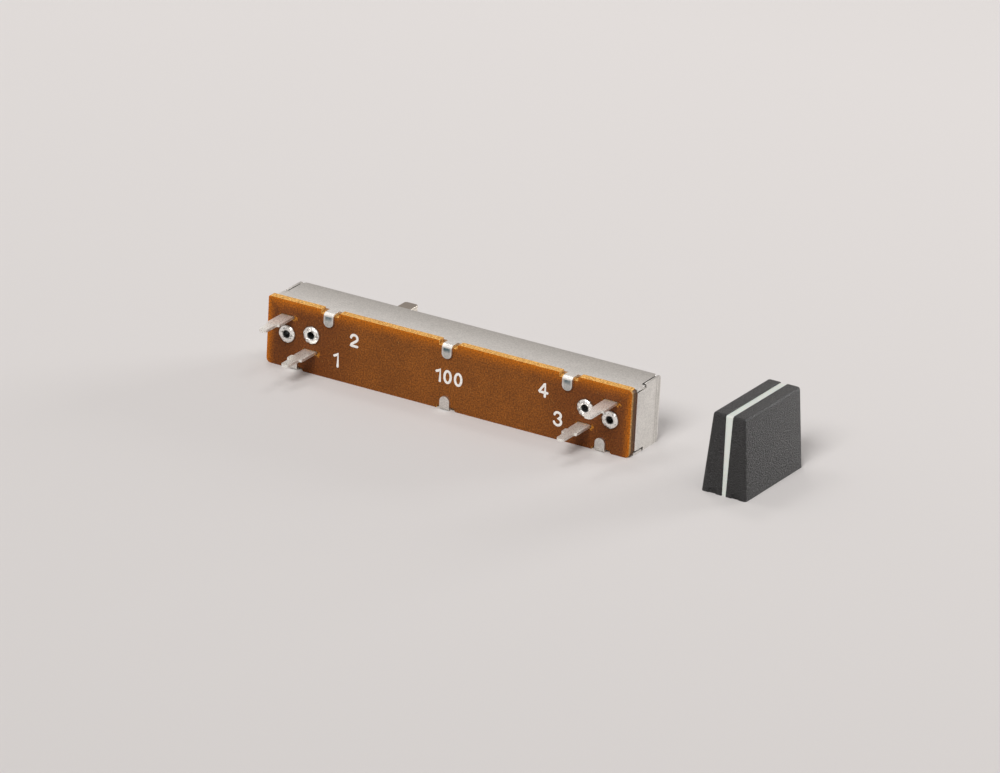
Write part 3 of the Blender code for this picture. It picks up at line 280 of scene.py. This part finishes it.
def zinc_plated_sheet(settings):
    """Cold rolled steel strip, zinc plated, then sheared and folded.

    It is satin and cloudy with fine rolling lines. A painted reflection darkens it towards the slot
    face, its ends have darker streaks beside their folds, and it is dark where its long walls' ends
    face the seams: unplated sheared steel, with painted seam shade.
    """
    material, tree, shader, coords = start_material("zinc_plated_sheet", Metallic=1.0)
    cloud = mottle(tree, coords, 5.0 * MM, 0.0, 1.0)
    # Real grit and rolling lines are finer: these are as coarse as they need to be to show
    grit = mottle(tree, coords, 0.25 * MM, 0.86, 1.09)
    lines = mottle(tree, coords, 0.12 * MM, 0.0, 1.0, stretch=(0.02, 1.0, 1.0))
    place = add_node(tree, "ShaderNodeSeparateXYZ", {"Vector": coords.outputs["Object"]})
    facing = add_node(tree, "ShaderNodeSeparateXYZ", {"Vector": coords.outputs["Normal"]})
    across = add_node(tree, "ShaderNodeMath", {0: facing.outputs["X"]}, operation="ABSOLUTE")
    sideways = add_node(tree, "ShaderNodeMath", {
        0: across.outputs["Value"], 1: STEEP_FACING,
    }, operation="GREATER_THAN")
    along = add_node(tree, "ShaderNodeMath", {0: place.outputs["X"]}, operation="ABSOLUTE")

    # The upper tabs are dark below their fold and paler towards their rims and tips
    fold_blend = 0.1 * MM
    tab_height = 0.2 * MM
    nearest = FAR
    for middle in UPPER_TABS:
        away = add_node(tree, "ShaderNodeMath", {0: place.outputs["X"], 1: middle}, operation="SUBTRACT")
        away = add_node(tree, "ShaderNodeMath", {0: away.outputs["Value"]}, operation="ABSOLUTE")
        nearest = add_node(tree, "ShaderNodeMath", {
            0: nearest, 1: away.outputs["Value"],
        }, operation="MINIMUM").outputs["Value"]
    inside_rim = add_node(tree, "ShaderNodeMapRange", {
        "Value": nearest, "From Min": TAB_RIM[0], "From Max": TAB_RIM[1], "To Min": 1.0, "To Max": 0.15,
    })
    below = add_node(tree, "ShaderNodeMapRange", {
        "Value": place.outputs["Z"], "From Min": TAB_FOLD_END, "From Max": TAB_FOLD_END + fold_blend,
        "To Min": 1.0, "To Max": 0.0,
    })
    fading = add_node(tree, "ShaderNodeMapRange", {
        "Value": place.outputs["Z"], "From Min": TAB_FOLD_END - TAB_FADE[1],
        "From Max": TAB_FOLD_END - TAB_FADE[0], "To Min": 0.35, "To Max": 1.0,
    })
    raised = add_node(tree, "ShaderNodeMath", {
        0: place.outputs["Y"], 1: BOARD_LOW.y - tab_height,
    }, operation="LESS_THAN")
    upper = add_node(tree, "ShaderNodeMath", {
        0: place.outputs["Z"], 1: BOARD_HIGH.z / 2,
    }, operation="GREATER_THAN")
    tab_band = raised.outputs["Value"]
    for share in (
        upper.outputs["Value"], below.outputs["Result"], fading.outputs["Result"],
        inside_rim.outputs["Result"], mottle(tree, coords, 1.2 * MM, 0.6, 1.0),
    ):
        tab_band = add_node(tree, "ShaderNodeMath", {
            0: tab_band, 1: share,
        }, operation="MULTIPLY").outputs["Value"]

    # The long walls darken evenly towards the slot face as a painted reflection, the ends only in a streaked
    # band by their fold
    even = add_node(tree, "ShaderNodeMapRange", {
        "Value": place.outputs["Y"], "From Min": BOARD_HIGH.y, "From Max": CASE_HIGH.y,
        "To Min": 0.0, "To Max": 1.0,
    })
    band = add_node(tree, "ShaderNodeMapRange", {
        "Value": place.outputs["Y"], "From Min": STREAK_BAND[0], "From Max": STREAK_BAND[1],
        "To Min": 0.0, "To Max": 1.0,
    })
    streaks = mottle(tree, coords, 0.55 * MM, 0.0, 0.75, stretch=(0.0, 1.0, 0.04))
    darkened = add_node(tree, "ShaderNodeMath", {0: band.outputs["Result"], 1: streaks}, operation="MULTIPLY")
    # dull is the share of the painted reflection on the long walls and of the darker streaks on the ends
    dull = add_node(tree, "ShaderNodeMix", {
        0: sideways.outputs["Value"], 2: even.outputs["Result"], 3: darkened.outputs["Value"],
    })
    # The long walls' ends that face the seams are dark: unplated sheared steel, with painted seam shade
    seam_play = 0.1 * MM
    seam = add_node(tree, "ShaderNodeMath", {
        0: along.outputs["Value"], 1: CASE_HIGH.x - SEAM_INSET, 2: seam_play,
    }, operation="COMPARE")
    unplated_and_seam_shade = add_node(tree, "ShaderNodeMath", {
        0: seam.outputs["Value"], 1: sideways.outputs["Value"],
    }, operation="MULTIPLY")

    colour = add_node(tree, "ShaderNodeMix", {
        0: cloud, 6: settings.plating, 7: settings.bloom,
    }, data_type="RGBA")
    for share, paint in (
        (dull.outputs[0], settings.back_shade_and_streaks), (unplated_and_seam_shade.outputs["Value"], settings.unplated_and_seam_shade),
        (tab_band, settings.tab_band),
    ):
        colour = add_node(tree, "ShaderNodeMix", {0: share, 6: colour.outputs[2], 7: paint}, data_type="RGBA")
    gloss = add_node(tree, "ShaderNodeMapRange", {"Value": cloud, "To Min": 0.44, "To Max": 0.36})
    plating = toned(tree, colour.outputs[2], grit)
    feed_finish(tree, shader, plating, gloss.outputs["Result"], lines, 0.003 * MM)
    return material


def phenolic_laminate(settings):
    """Paper laminate in brown resin, sheared to shape.

    It is even and finely mottled with pale fibres, and amber near its edges, where light comes
    through. Its sheared thickness is paler and torn along its layers.
    """
    material, tree, shader, coords = start_material("phenolic_laminate", Specular_IOR_Level=0.2)
    place = add_node(tree, "ShaderNodeSeparateXYZ", {"Vector": coords.outputs["Object"]})
    facing = add_node(tree, "ShaderNodeSeparateXYZ", {"Vector": coords.outputs["Normal"]})

    # How far a point is from the nearest of the two ends and the upper edge, with a wandering border
    margins = [mottle(tree, coords, 1.5 * MM, 0.85, 1.15)]
    for axis, edge, way in (
        ("X", BOARD_LOW.x, END_STEEPNESS), ("X", BOARD_HIGH.x, -END_STEEPNESS), ("Z", BOARD_HIGH.z, -1.0),
    ):
        margins.append(add_node(tree, "ShaderNodeMath", {
            0: place.outputs[axis], 1: way, 2: -way * edge,
        }, operation="MULTIPLY_ADD").outputs["Value"])
    margin = add_node(tree, "ShaderNodeMath", {0: margins[1], 1: margins[2]}, operation="MINIMUM")
    for other, operation in ((margins[3], "MINIMUM"), (margins[0], "MULTIPLY")):
        margin = add_node(tree, "ShaderNodeMath", {0: margin.outputs["Value"], 1: other}, operation=operation)
    near = add_node(tree, "ShaderNodeMapRange", {
        "Value": margin.outputs["Value"], "From Min": 0.0, "From Max": settings.glow_depth,
        "To Min": 1.0, "To Max": 0.0,
    })
    glow = add_node(tree, "ShaderNodeMath", {0: near.outputs["Result"], 1: 1.8}, operation="POWER")
    along = add_node(tree, "ShaderNodeMath", {0: place.outputs["X"]}, operation="ABSOLUTE")
    red_start, red_stop = 0.4 * BOARD_HIGH.x, 0.75 * BOARD_HIGH.x
    end = add_node(tree, "ShaderNodeMapRange", {
        "Value": along.outputs["Value"], "From Min": red_start, "From Max": red_stop,
        "To Min": 0.0, "To Max": 0.9,
    }, interpolation_type="SMOOTHSTEP")

    # The face, its ends, its fibres and its edges, laid over each other
    patches = mottle(tree, coords, 4.0 * MM, 0.0, 1.0)
    # Real fibres are finer: these are as coarse as they need to be to show
    fibres = mottle(tree, coords, 0.16 * MM, 0.0, 0.6, 0.68, 0.03, (1.0, 1.0, 0.3))
    face = add_node(tree, "ShaderNodeMix", {
        0: patches, 6: settings.resin_deep, 7: settings.resin,
    }, data_type="RGBA")
    # Round each eyelet a painted shadow darkens the face, and at its slots a painted amber glow lights it
    shadow_rim = 0.4 * MM
    glow_start, glow_stop = 0.6 * MM, 0.8 * MM
    darkened = add_node(tree, "ShaderNodeMapRange", {
        "Value": nearest_distance(tree, coords, EYELETS), "From Min": EYELET_RADIUS,
        "From Max": EYELET_RADIUS + shadow_rim, "To Min": 0.85, "To Max": 0.0,
    })
    ragged = mottle(tree, coords, 0.35 * MM, 0.0, 0.6 * MM)
    slot_glow = add_node(tree, "ShaderNodeMath", {
        0: nearest_distance(tree, coords, SLOT_ENDS), 1: ragged,
    }, operation="ADD")
    slot_glow = add_node(tree, "ShaderNodeMapRange", {
        "Value": slot_glow.outputs["Value"], "From Min": glow_start, "From Max": glow_stop,
        "To Min": 0.85, "To Max": 0.0,
    })
    for share, colour in (
        (end.outputs["Result"], settings.resin_red), (fibres, settings.fibre),
        (glow.outputs["Value"], settings.edge_glow), (slot_glow.outputs["Result"], settings.torn_and_slot_glow),
        (darkened.outputs["Result"], settings.cut_shaded),
    ):
        face = add_node(tree, "ShaderNodeMix", {0: share, 6: face.outputs[2], 7: colour}, data_type="RGBA")

    # The sheared thickness, with painted shade at the two ends behind their front arris
    end_reach = 1.0 * MM
    shade_start, shade_stop = 0.1 * MM, 0.8 * MM
    torn = mottle(tree, coords, 0.2 * MM, 0.0, 1.0, 0.45, 0.1, (0.4, 1.0, 0.4))
    cut = add_node(tree, "ShaderNodeMix", {
        0: torn, 6: settings.torn_and_slot_glow, 7: settings.cut_face,
    }, data_type="RGBA")
    across = add_node(tree, "ShaderNodeMath", {0: facing.outputs["X"]}, operation="ABSOLUTE")
    sideways = add_node(tree, "ShaderNodeMath", {
        0: across.outputs["Value"], 1: FACING,
    }, operation="GREATER_THAN")
    outermost = add_node(tree, "ShaderNodeMath", {
        0: along.outputs["Value"], 1: BOARD_HIGH.x - end_reach,
    }, operation="GREATER_THAN")
    deep = add_node(tree, "ShaderNodeMapRange", {
        "Value": place.outputs["Y"], "From Min": BOARD_LOW.y + shade_start,
        "From Max": BOARD_LOW.y + shade_stop, "To Min": 0.2, "To Max": 0.95,
    })
    shaded = sideways
    for share in (deep.outputs["Result"], outermost.outputs["Value"]):
        shaded = add_node(tree, "ShaderNodeMath", {
            0: shaded.outputs["Value"], 1: share,
        }, operation="MULTIPLY")
    cut = add_node(tree, "ShaderNodeMix", {
        0: shaded.outputs["Value"], 6: cut.outputs[2], 7: settings.cut_shaded,
    }, data_type="RGBA")
    flat = add_node(tree, "ShaderNodeMath", {0: facing.outputs["Y"]}, operation="ABSOLUTE")
    sheared = add_node(tree, "ShaderNodeMath", {0: flat.outputs["Value"], 1: FACING}, operation="LESS_THAN")
    face = add_node(tree, "ShaderNodeMix", {
        0: sheared.outputs["Value"], 6: face.outputs[2], 7: cut.outputs[2],
    }, data_type="RGBA")

    # The real mottling is finer: this is as coarse as it needs to be to show
    grain = mottle(tree, coords, settings.grain, 0.62, 1.36, spread=0.12)
    feed_finish(tree, shader, toned(tree, face.outputs[2], grain), 0.55, grain, 0.01 * MM)
    return material


def bright_plating(settings):
    """Brass tube, nickel plated and rolled over: bright with a few tool marks, with painted shade and a
    rougher finish inside.
    """
    material, tree, shader, coords = start_material("bright_plating", Metallic=1.0)
    marks = mottle(tree, coords, 0.4 * MM, 0.0, 1.0, 0.4, 0.05)
    # The tube's bore has painted shade, and is rougher
    bore_radius, mouth_radius = 0.4 * EYELET_RADIUS, 0.52 * EYELET_RADIUS
    inside = add_node(tree, "ShaderNodeMapRange", {
        "Value": nearest_distance(tree, coords, EYELETS), "From Min": bore_radius,
        "From Max": mouth_radius, "To Min": 0.9, "To Max": 0.0,
    })
    colour = add_node(tree, "ShaderNodeMix", {
        0: marks, 6: settings.tarnish, 7: settings.eyelet,
    }, data_type="RGBA")
    colour = add_node(tree, "ShaderNodeMix", {
        0: inside.outputs["Result"], 6: colour.outputs[2], 7: settings.bore_shade,
    }, data_type="RGBA")
    gloss = add_node(tree, "ShaderNodeMapRange", {
        "Value": inside.outputs["Result"], "To Min": 0.32, "To Max": 0.6,
    })
    feed_finish(tree, shader, colour.outputs[2], gloss.outputs["Result"], marks, 0.02 * MM)
    return material


def blanked_strip(settings):
    """Blanked steel strip: brownish dull flats with rolling lines, and brighter sheared sides."""
    material, tree, shader, coords = start_material("blanked_strip", Metallic=1.0)
    facing = add_node(tree, "ShaderNodeSeparateXYZ", {"Vector": coords.outputs["Normal"]})
    upright = add_node(tree, "ShaderNodeMath", {0: facing.outputs["Z"]}, operation="ABSOLUTE")
    flat = add_node(tree, "ShaderNodeMath", {
        0: upright.outputs["Value"], 1: FACING,
    }, operation="GREATER_THAN")
    # Real rolling lines are finer: these are as coarse as they need to be to show
    darkest, palest = 0.85, 1.1
    lines = mottle(tree, coords, 0.1 * MM, darkest, palest, stretch=(1.0, 0.03, 1.0))
    colour = add_node(tree, "ShaderNodeMix", {
        0: flat.outputs["Value"], 6: settings.sheared, 7: settings.strip,
    }, data_type="RGBA")
    gloss = add_node(tree, "ShaderNodeMapRange", {
        "Value": lines, "From Min": darkest, "From Max": palest, "To Min": 0.35, "To Max": 0.5,
    })
    rolled = toned(tree, colour.outputs[2], lines)
    feed_finish(tree, shader, rolled, gloss.outputs["Result"], lines, 0.015 * MM)
    return material


def paper_backdrop(settings):
    """Roll of matt paper: smooth and even, with painted light that makes it a little paler towards the back.
    """
    material, tree, shader, coords = start_material("paper_backdrop", Roughness=0.85, Specular_IOR_Level=0.2)
    place = add_node(tree, "ShaderNodeSeparateXYZ", {"Vector": coords.outputs["Object"]})
    reach = 200.0 * MM
    tone = add_node(tree, "ShaderNodeMapRange", {
        "Value": place.outputs["Y"], "From Min": -reach, "From Max": reach, "To Min": 0.92, "To Max": 1.08,
    })
    feed(tree, shader, {"Base Color": toned(tree, settings.floor, tone.outputs["Result"])})
    return material


def show(name, bm, material, node, angle=35.0):
    """Links a bmesh as a smooth shaded piece that rides with a CAD node's body."""
    mesh = bpy.data.meshes.new(name)
    bm.to_mesh(mesh)
    bm.free()
    mesh.shade_smooth()
    mesh.set_sharp_from_angle(angle=math.radians(angle))
    mesh.materials.append(material)
    piece = bpy.data.objects.new(name, mesh)
    bpy.context.scene.collection.objects.link(piece)
    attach(piece, BODIES[node])
    return piece


def dress(node, material, ease=0.0):
    """Stands for a CAD node with a joined copy of its mesh whose curves shade smooth and edges are eased."""
    bm = bmesh.new()
    bm.from_mesh(frame["nodes"][node].data)
    bmesh.ops.remove_doubles(bm, verts=bm.verts[:], dist=JOIN_DISTANCE)
    bmesh.ops.dissolve_limit(bm, angle_limit=MERGE_ANGLE, verts=bm.verts[:], edges=bm.edges[:])
    piece = show(f"{node}_finish", bm, material, node)
    if ease > 0.0:
        bevel = piece.modifiers.new("Eased edges", "BEVEL")
        bevel.width = ease
        bevel.segments = 2
        bevel.limit_method = "ANGLE"
        bevel.angle_limit = EASE_ANGLE
        bevel.harden_normals = True
    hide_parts(node)


def arc(x, z, half_width, half_height, start, stop, steps=12):
    """Points of an oval arc between two angles in degrees, turning from across to up."""
    turns = [math.radians(start + (stop - start) * step / steps) for step in range(steps + 1)]
    return [(x + half_width * math.cos(turn), z + half_height * math.sin(turn)) for turn in turns]


# Middle lines of each number's strokes, across and up as shares of its width and height
NUMBER_STROKES = {
    "0": [arc(0.5, 0.5, 0.5, 0.5, 0, 360, 24)],
    "1": [[(0.0, 0.8), (0.6, 0.88), (1.0, 1.0), (1.0, 0.0)]],
    "2": [[
        *arc(0.5, 0.7, 0.5, 0.3, 175, -25), (0.82, 0.48), (0.12, 0.14), (0.0, 0.02), (0.1, 0.0), (1.0, 0.0),
    ]],
    "3": [[*arc(0.48, 0.765, 0.44, 0.235, 170, -80), *arc(0.5, 0.27, 0.5, 0.27, 80, -165)]],
    "4": [[(0.72, 0.0), (0.72, 1.0), (0.64, 0.96), (0.02, 0.36), (0.08, 0.3), (1.0, 0.3)]],
}
# Turns round a stroke's half round end, in degrees
END_ANGLES = (30, 55, 75, 88)


def printed_number(name, text, box, settings, material):
    """A number as round ended strokes of ink, flattened onto the board's front."""
    left, right, low, high = (side * MM for side in box)
    curve = bpy.data.curves.new(name, "CURVE")
    curve.dimensions = "3D"
    curve.bevel_depth = settings.stroke / 2
    curve.bevel_resolution = 3
    curve.use_fill_caps = True
    for stroke in NUMBER_STROKES[text]:
        points = [Vector((left + (right - left) * x, 0.0, low + (high - low) * z)) for x, z in stroke]
        closed = (points[0] - points[-1]).length < JOIN_DISTANCE
        if closed:
            points.pop()
            sizes = [1.0] * len(points)
        else:
            # Each end goes on as a half round, whose size falls to nothing
            start = (points[0] - points[1]).normalized()
            stop = (points[-1] - points[-2]).normalized()
            shares = [math.sin(math.radians(angle)) for angle in END_ANGLES]
            ends = [[point + way * share * settings.stroke / 2 for share in shares]
                    for point, way in ((points[0], start), (points[-1], stop))]
            sizes = [math.sqrt(1.0 - share * share) for share in shares]
            sizes = sizes[::-1] + [1.0] * len(points) + sizes
            points = ends[0][::-1] + points + ends[1]
        spline = curve.splines.new("POLY")
        spline.points.add(len(points) - 1)
        spline.use_cyclic_u = closed
        for knot, point, size in zip(spline.points, points, sizes):
            knot.co = (*point, 1.0)
            knot.radius = size
    holder = bpy.data.objects.new(name, curve)
    bpy.context.scene.collection.objects.link(holder)
    bpy.context.view_layer.update()
    bm = bmesh.new()
    bm.from_mesh(holder.to_mesh())
    holder.to_mesh_clear()
    bpy.data.objects.remove(holder)
    bpy.data.curves.remove(curve)
    flatten = Matrix.Diagonal((1.0, 2 * settings.thickness / settings.stroke, 1.0, 1.0))
    bmesh.ops.transform(bm, matrix=Matrix.Translation((0.0, BOARD_LOW.y, 0.0)) @ flatten, verts=bm.verts[:])
    bmesh.ops.recalc_face_normals(bm, faces=bm.faces[:])
    piece = show(name, bm, material, "track_board", 80.0)


class POT_OT_case(bpy.types.Operator):
    """Dresses the folded steel case"""

    bl_idname = "pot.case"
    bl_label = "Case"

    def execute(self, context):
        settings = context.scene.pot_case
        dress("case_shell", zinc_plated_sheet(settings), settings.edge_ease)
        return {"FINISHED"}


class POT_OT_board(bpy.types.Operator):
    """Dresses the phenolic board and the tracks printed on it"""

    bl_idname = "pot.board"
    bl_label = "Board and tracks"

    def execute(self, context):
        settings = context.scene.pot_board
        dress("track_board", phenolic_laminate(settings), MOULDED_EASE)
        # Screen printed carbon ink: even, matt and black
        carbon = two_tones(
            "carbon_ink", 0.3 * MM, linear("#1F1F20"), linear("#151516"), (0.65, 0.75), 0.005 * MM
        )
        # Screen printed silver ink: fine metal flakes in a binder, grey and matt
        silver = two_tones(
            "silver_ink", 0.15 * MM, linear("#C4C4C1"), linear("#9C9C9A"), (0.45, 0.55), 0.005 * MM,
            Metallic=0.8,
        )
        dress("carbon_track", carbon)
        for node in ("collector_track", "silver_pad_1", "silver_pad_3"):
            dress(node, silver)
        return {"FINISHED"}


class POT_OT_numbers(bpy.types.Operator):
    """Prints the terminal numbers and a plain middle number on the board's front"""

    bl_idname = "pot.numbers"
    bl_label = "Numbers"

    def execute(self, context):
        settings = context.scene.pot_print
        # Screen printed ink: even and matt, with tiny thin spots
        thin = [share * 0.8 for share in settings.ink]
        ink = two_tones("pale_ink", 0.3 * MM, settings.ink, thin, (0.55, 0.6), 0.004 * MM)
        # Left, right, lower and upper ends of the middle lines, in millimetres
        places = {
            "terminal_1": ("1", (-23.68, -22.93, 2.75, 5.17)),
            "terminal_2": ("2", (-20.37, -19.03, 7.45, 9.58)),
            "terminal_3": ("3", (21.97, 23.43, 2.75, 5.17)),
            "terminal_4": ("4", (18.66, 20.3, 7.53, 9.87)),
            "middle_1": ("1", (-2.4, -1.65, 5.2, 7.4)),
            "middle_2": ("0", (-0.75, 0.55, 5.2, 7.4)),
            "middle_3": ("0", (1.45, 2.75, 5.2, 7.4)),
        }
        for name, (text, box) in places.items():
            printed_number(f"number_{name}", text, box, settings, ink)
        return {"FINISHED"}


class POT_OT_terminals(bpy.types.Operator):
    """Dresses the tinned terminals and the eyelets that hold them"""

    bl_idname = "pot.terminals"
    bl_label = "Terminals and eyelets"

    def execute(self, context):
        settings = context.scene.pot_terminals
        # Stamped brass, hot tinned: pale warm grey and half dull. Its pits are drawn coarser than
        # real ones, so that they show
        tin = two_tones(
            "dull_tin", 0.2 * MM, settings.tin, settings.pitted, (0.36, 0.5), 0.01 * MM, 0.4, 0.07,
            Metallic=0.7,
        )
        plating = bright_plating(settings)
        for number in (1, 2, 3, 4):
            dress(f"terminal_{number}", tin, TINNED_EASE)
            dress(f"eyelet_{number}", plating)
        return {"FINISHED"}


class POT_OT_slider(bpy.types.Operator):
    """Dresses the lever and the sliding pieces inside the case"""

    bl_idname = "pot.slider"
    bl_label = "Slider"

    def execute(self, context):
        settings = context.scene.pot_slider
        dress("lever", blanked_strip(settings), STRIP_EASE)
        # Moulded acetal: milky, waxy white with a soft sheen
        deep = [share * 0.9 for share in settings.acetal]
        acetal = two_tones(
            "natural_acetal", 2.5 * MM, settings.acetal, deep, (0.36, 0.42), 0.004 * MM,
            Subsurface_Weight=0.15, Subsurface_Scale=0.8 * MM,
        )
        dress("slider_block", acetal, MOULDED_EASE)
        # Rolled spring strips: bright, with fine lines along them, drawn coarser so that they show
        brush = two_tones(
            "nickel_silver_strip", 0.08 * MM, linear("#D9D0B8"), linear("#B5AB90"), (0.22, 0.32), 0.002 * MM,
            stretch=(0.05, 1.0, 1.0), Metallic=1.0,
        )
        spring = two_tones(
            "blued_spring_strip", 0.08 * MM, linear("#8E8C8A"), linear("#5F6066"), (0.28, 0.38), 0.002 * MM,
            stretch=(0.05, 1.0, 1.0), Metallic=1.0,
        )
        dress("brush", brush)
        dress("drag_spring", spring)
        return {"FINISHED"}


class POT_OT_cap(bpy.types.Operator):
    """Dresses the moulded cap and its white insert"""

    bl_idname = "pot.cap"
    bl_label = "Cap"

    def execute(self, context):
        settings = context.scene.pot_cap
        # Moulded black ABS, spark eroded: a grain that scatters its gloss to charcoal. It is drawn
        # coarser than the real one, so that it shows
        grained = two_tones(
            "grained_abs", settings.grain, settings.pale, settings.black, (0.34, 0.46), 0.1 * MM, spread=0.12
        )
        # Moulded white ABS: smooth and softly glossy
        deep = [share * 0.94 for share in settings.white]
        smooth = two_tones(
            "smooth_abs", 3.0 * MM, settings.white, deep, (0.33, 0.38), 0.003 * MM,
            Subsurface_Weight=0.08, Subsurface_Scale=0.5 * MM,
        )
        dress("knob_cap", grained, MOULDED_EASE)
        dress("knob_line", smooth, MOULDED_EASE)
        return {"FINISHED"}


class POT_OT_stage(bpy.types.Operator):
    """Makes the floor, the lamps, the world and the camera"""

    bl_idname = "pot.stage"
    bl_label = "Stage"

    def execute(self, context):
        settings = context.scene.pot_stage
        scene = context.scene
        scene.view_settings.view_transform = "Standard"

        bm = bmesh.new()
        bmesh.ops.create_grid(bm, x_segments=1, y_segments=1, size=FLOOR_REACH)
        mesh = bpy.data.meshes.new("floor")
        bm.to_mesh(mesh)
        bm.free()
        mesh.materials.append(paper_backdrop(settings))
        floor = bpy.data.objects.new("floor", mesh)
        scene.collection.objects.link(floor)

        world = bpy.data.worlds.new("studio")
        scene.world = world
        world.use_nodes = True
        # It lights dimly, but shows and mirrors as pale as the floor
        dim = 0.42
        ray = add_node(world.node_tree, "ShaderNodeLightPath")
        seen = add_node(world.node_tree, "ShaderNodeMath", {
            0: ray.outputs["Is Camera Ray"], 1: ray.outputs["Is Glossy Ray"],
        }, operation="MAXIMUM")
        strength = add_node(world.node_tree, "ShaderNodeMapRange", {
            "Value": seen.outputs["Value"], "To Min": dim, "To Max": 1.0,
        })
        feed(world.node_tree, world.node_tree.nodes["Background"], {
            "Color": settings.floor, "Strength": strength.outputs["Result"],
        })

        # Name, place, side in metres, watts
        lamps = (
            ("front_lamp", (0.4, -4.3, 4.2), 2.4, 250.0),
            ("back_left_lamp", (-0.35, 0.35, 0.87), 0.2, 0.8),
            ("left_lamp", (-0.5, -0.05, 0.86), 0.25, 0.7),
            ("right_lamp", (0.3, 0.0, 0.95), 0.25, 0.6),
            ("right_card", (0.85, 1.5, 0.2), 0.7, 19.0),
        )
        for name, place, side, watts in lamps:
            lamp = bpy.data.lights.new(name, "AREA")
            lamp.size = side
            lamp.energy = watts
            lamp.use_shadow = settings.shadows
            holder = bpy.data.objects.new(name, lamp)
            holder.location = place
            holder.rotation_euler = (-Vector(place)).to_track_quat("-Z", "Y").to_euler()
            scene.collection.objects.link(holder)

        # The photograph's view: turned, tipped and rolled in degrees, then its offset in millimetres
        yaw, pitch, roll = (math.radians(angle) for angle in (29.18, 22.09, 3.03))
        focal_pixels = 7151.0
        offset = Vector((-9.935, 4.079, 1276.3)) * MM
        shift = Vector((0.425 * MM, -BOARD_LOW.y, 0.0))
        ahead = Vector((
            -math.sin(yaw) * math.cos(pitch), math.cos(yaw) * math.cos(pitch), -math.sin(pitch)
        ))
        right = Vector((math.cos(yaw), math.sin(yaw), 0.0))
        rows = Matrix.Rotation(roll, 3, "Z") @ Matrix((right, ahead.cross(right), ahead))
        data = bpy.data.cameras.new("camera")
        data.sensor_width = 36.0
        data.lens = data.sensor_width * focal_pixels / PHOTO_WIDTH
        data.clip_start, data.clip_end = 0.05, 20.0
        camera = bpy.data.objects.new("camera", data)
        turn = Matrix((rows[0], -rows[1], -rows[2])).transposed()
        camera.matrix_world = Matrix.Translation(-(rows.transposed() @ offset) - shift) @ turn.to_4x4()
        scene.collection.objects.link(camera)
        scene.camera = camera
        return {"FINISHED"}


OPERATORS = (
    POT_OT_case, POT_OT_board, POT_OT_numbers, POT_OT_terminals, POT_OT_slider, POT_OT_cap, POT_OT_stage,
)
SETTINGS = {
    "pot_case": CaseSettings, "pot_board": BoardSettings, "pot_print": PrintSettings,
    "pot_terminals": TerminalSettings, "pot_slider": SliderSettings, "pot_cap": CapSettings,
    "pot_stage": StageSettings,
}


class POT_PT_panel(bpy.types.Panel):
    """Lists the pieces to dress and their settings"""

    bl_idname = "POT_PT_panel"
    bl_label = "Slide potentiometer"
    bl_space_type = "VIEW_3D"
    bl_region_type = "UI"
    bl_category = "Potentiometer"

    def draw(self, context):
        for operator in OPERATORS:
            self.layout.operator(operator.bl_idname)
        for name, group in SETTINGS.items():
            column = self.layout.column()
            for key in group.__annotations__:
                column.prop(getattr(context.scene, name), key)


def register():
    """Makes the settings, operators and panel known."""
    for name, group in SETTINGS.items():
        bpy.utils.register_class(group)
        setattr(bpy.types.Scene, name, PointerProperty(type=group))
    for item in (*OPERATORS, POT_PT_panel):
        bpy.utils.register_class(item)


def unregister():
    """Takes them away again."""
    for item in (POT_PT_panel, *OPERATORS[::-1]):
        bpy.utils.unregister_class(item)
    for name, group in SETTINGS.items():
        delattr(bpy.types.Scene, name)
        bpy.utils.unregister_class(group)


def main():
    """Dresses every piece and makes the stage."""
    register()
    bpy.ops.pot.case()
    bpy.ops.pot.board()
    bpy.ops.pot.numbers()
    bpy.ops.pot.terminals()
    bpy.ops.pot.slider()
    bpy.ops.pot.cap()
    bpy.ops.pot.stage()


if __name__ == "__main__":
    main()
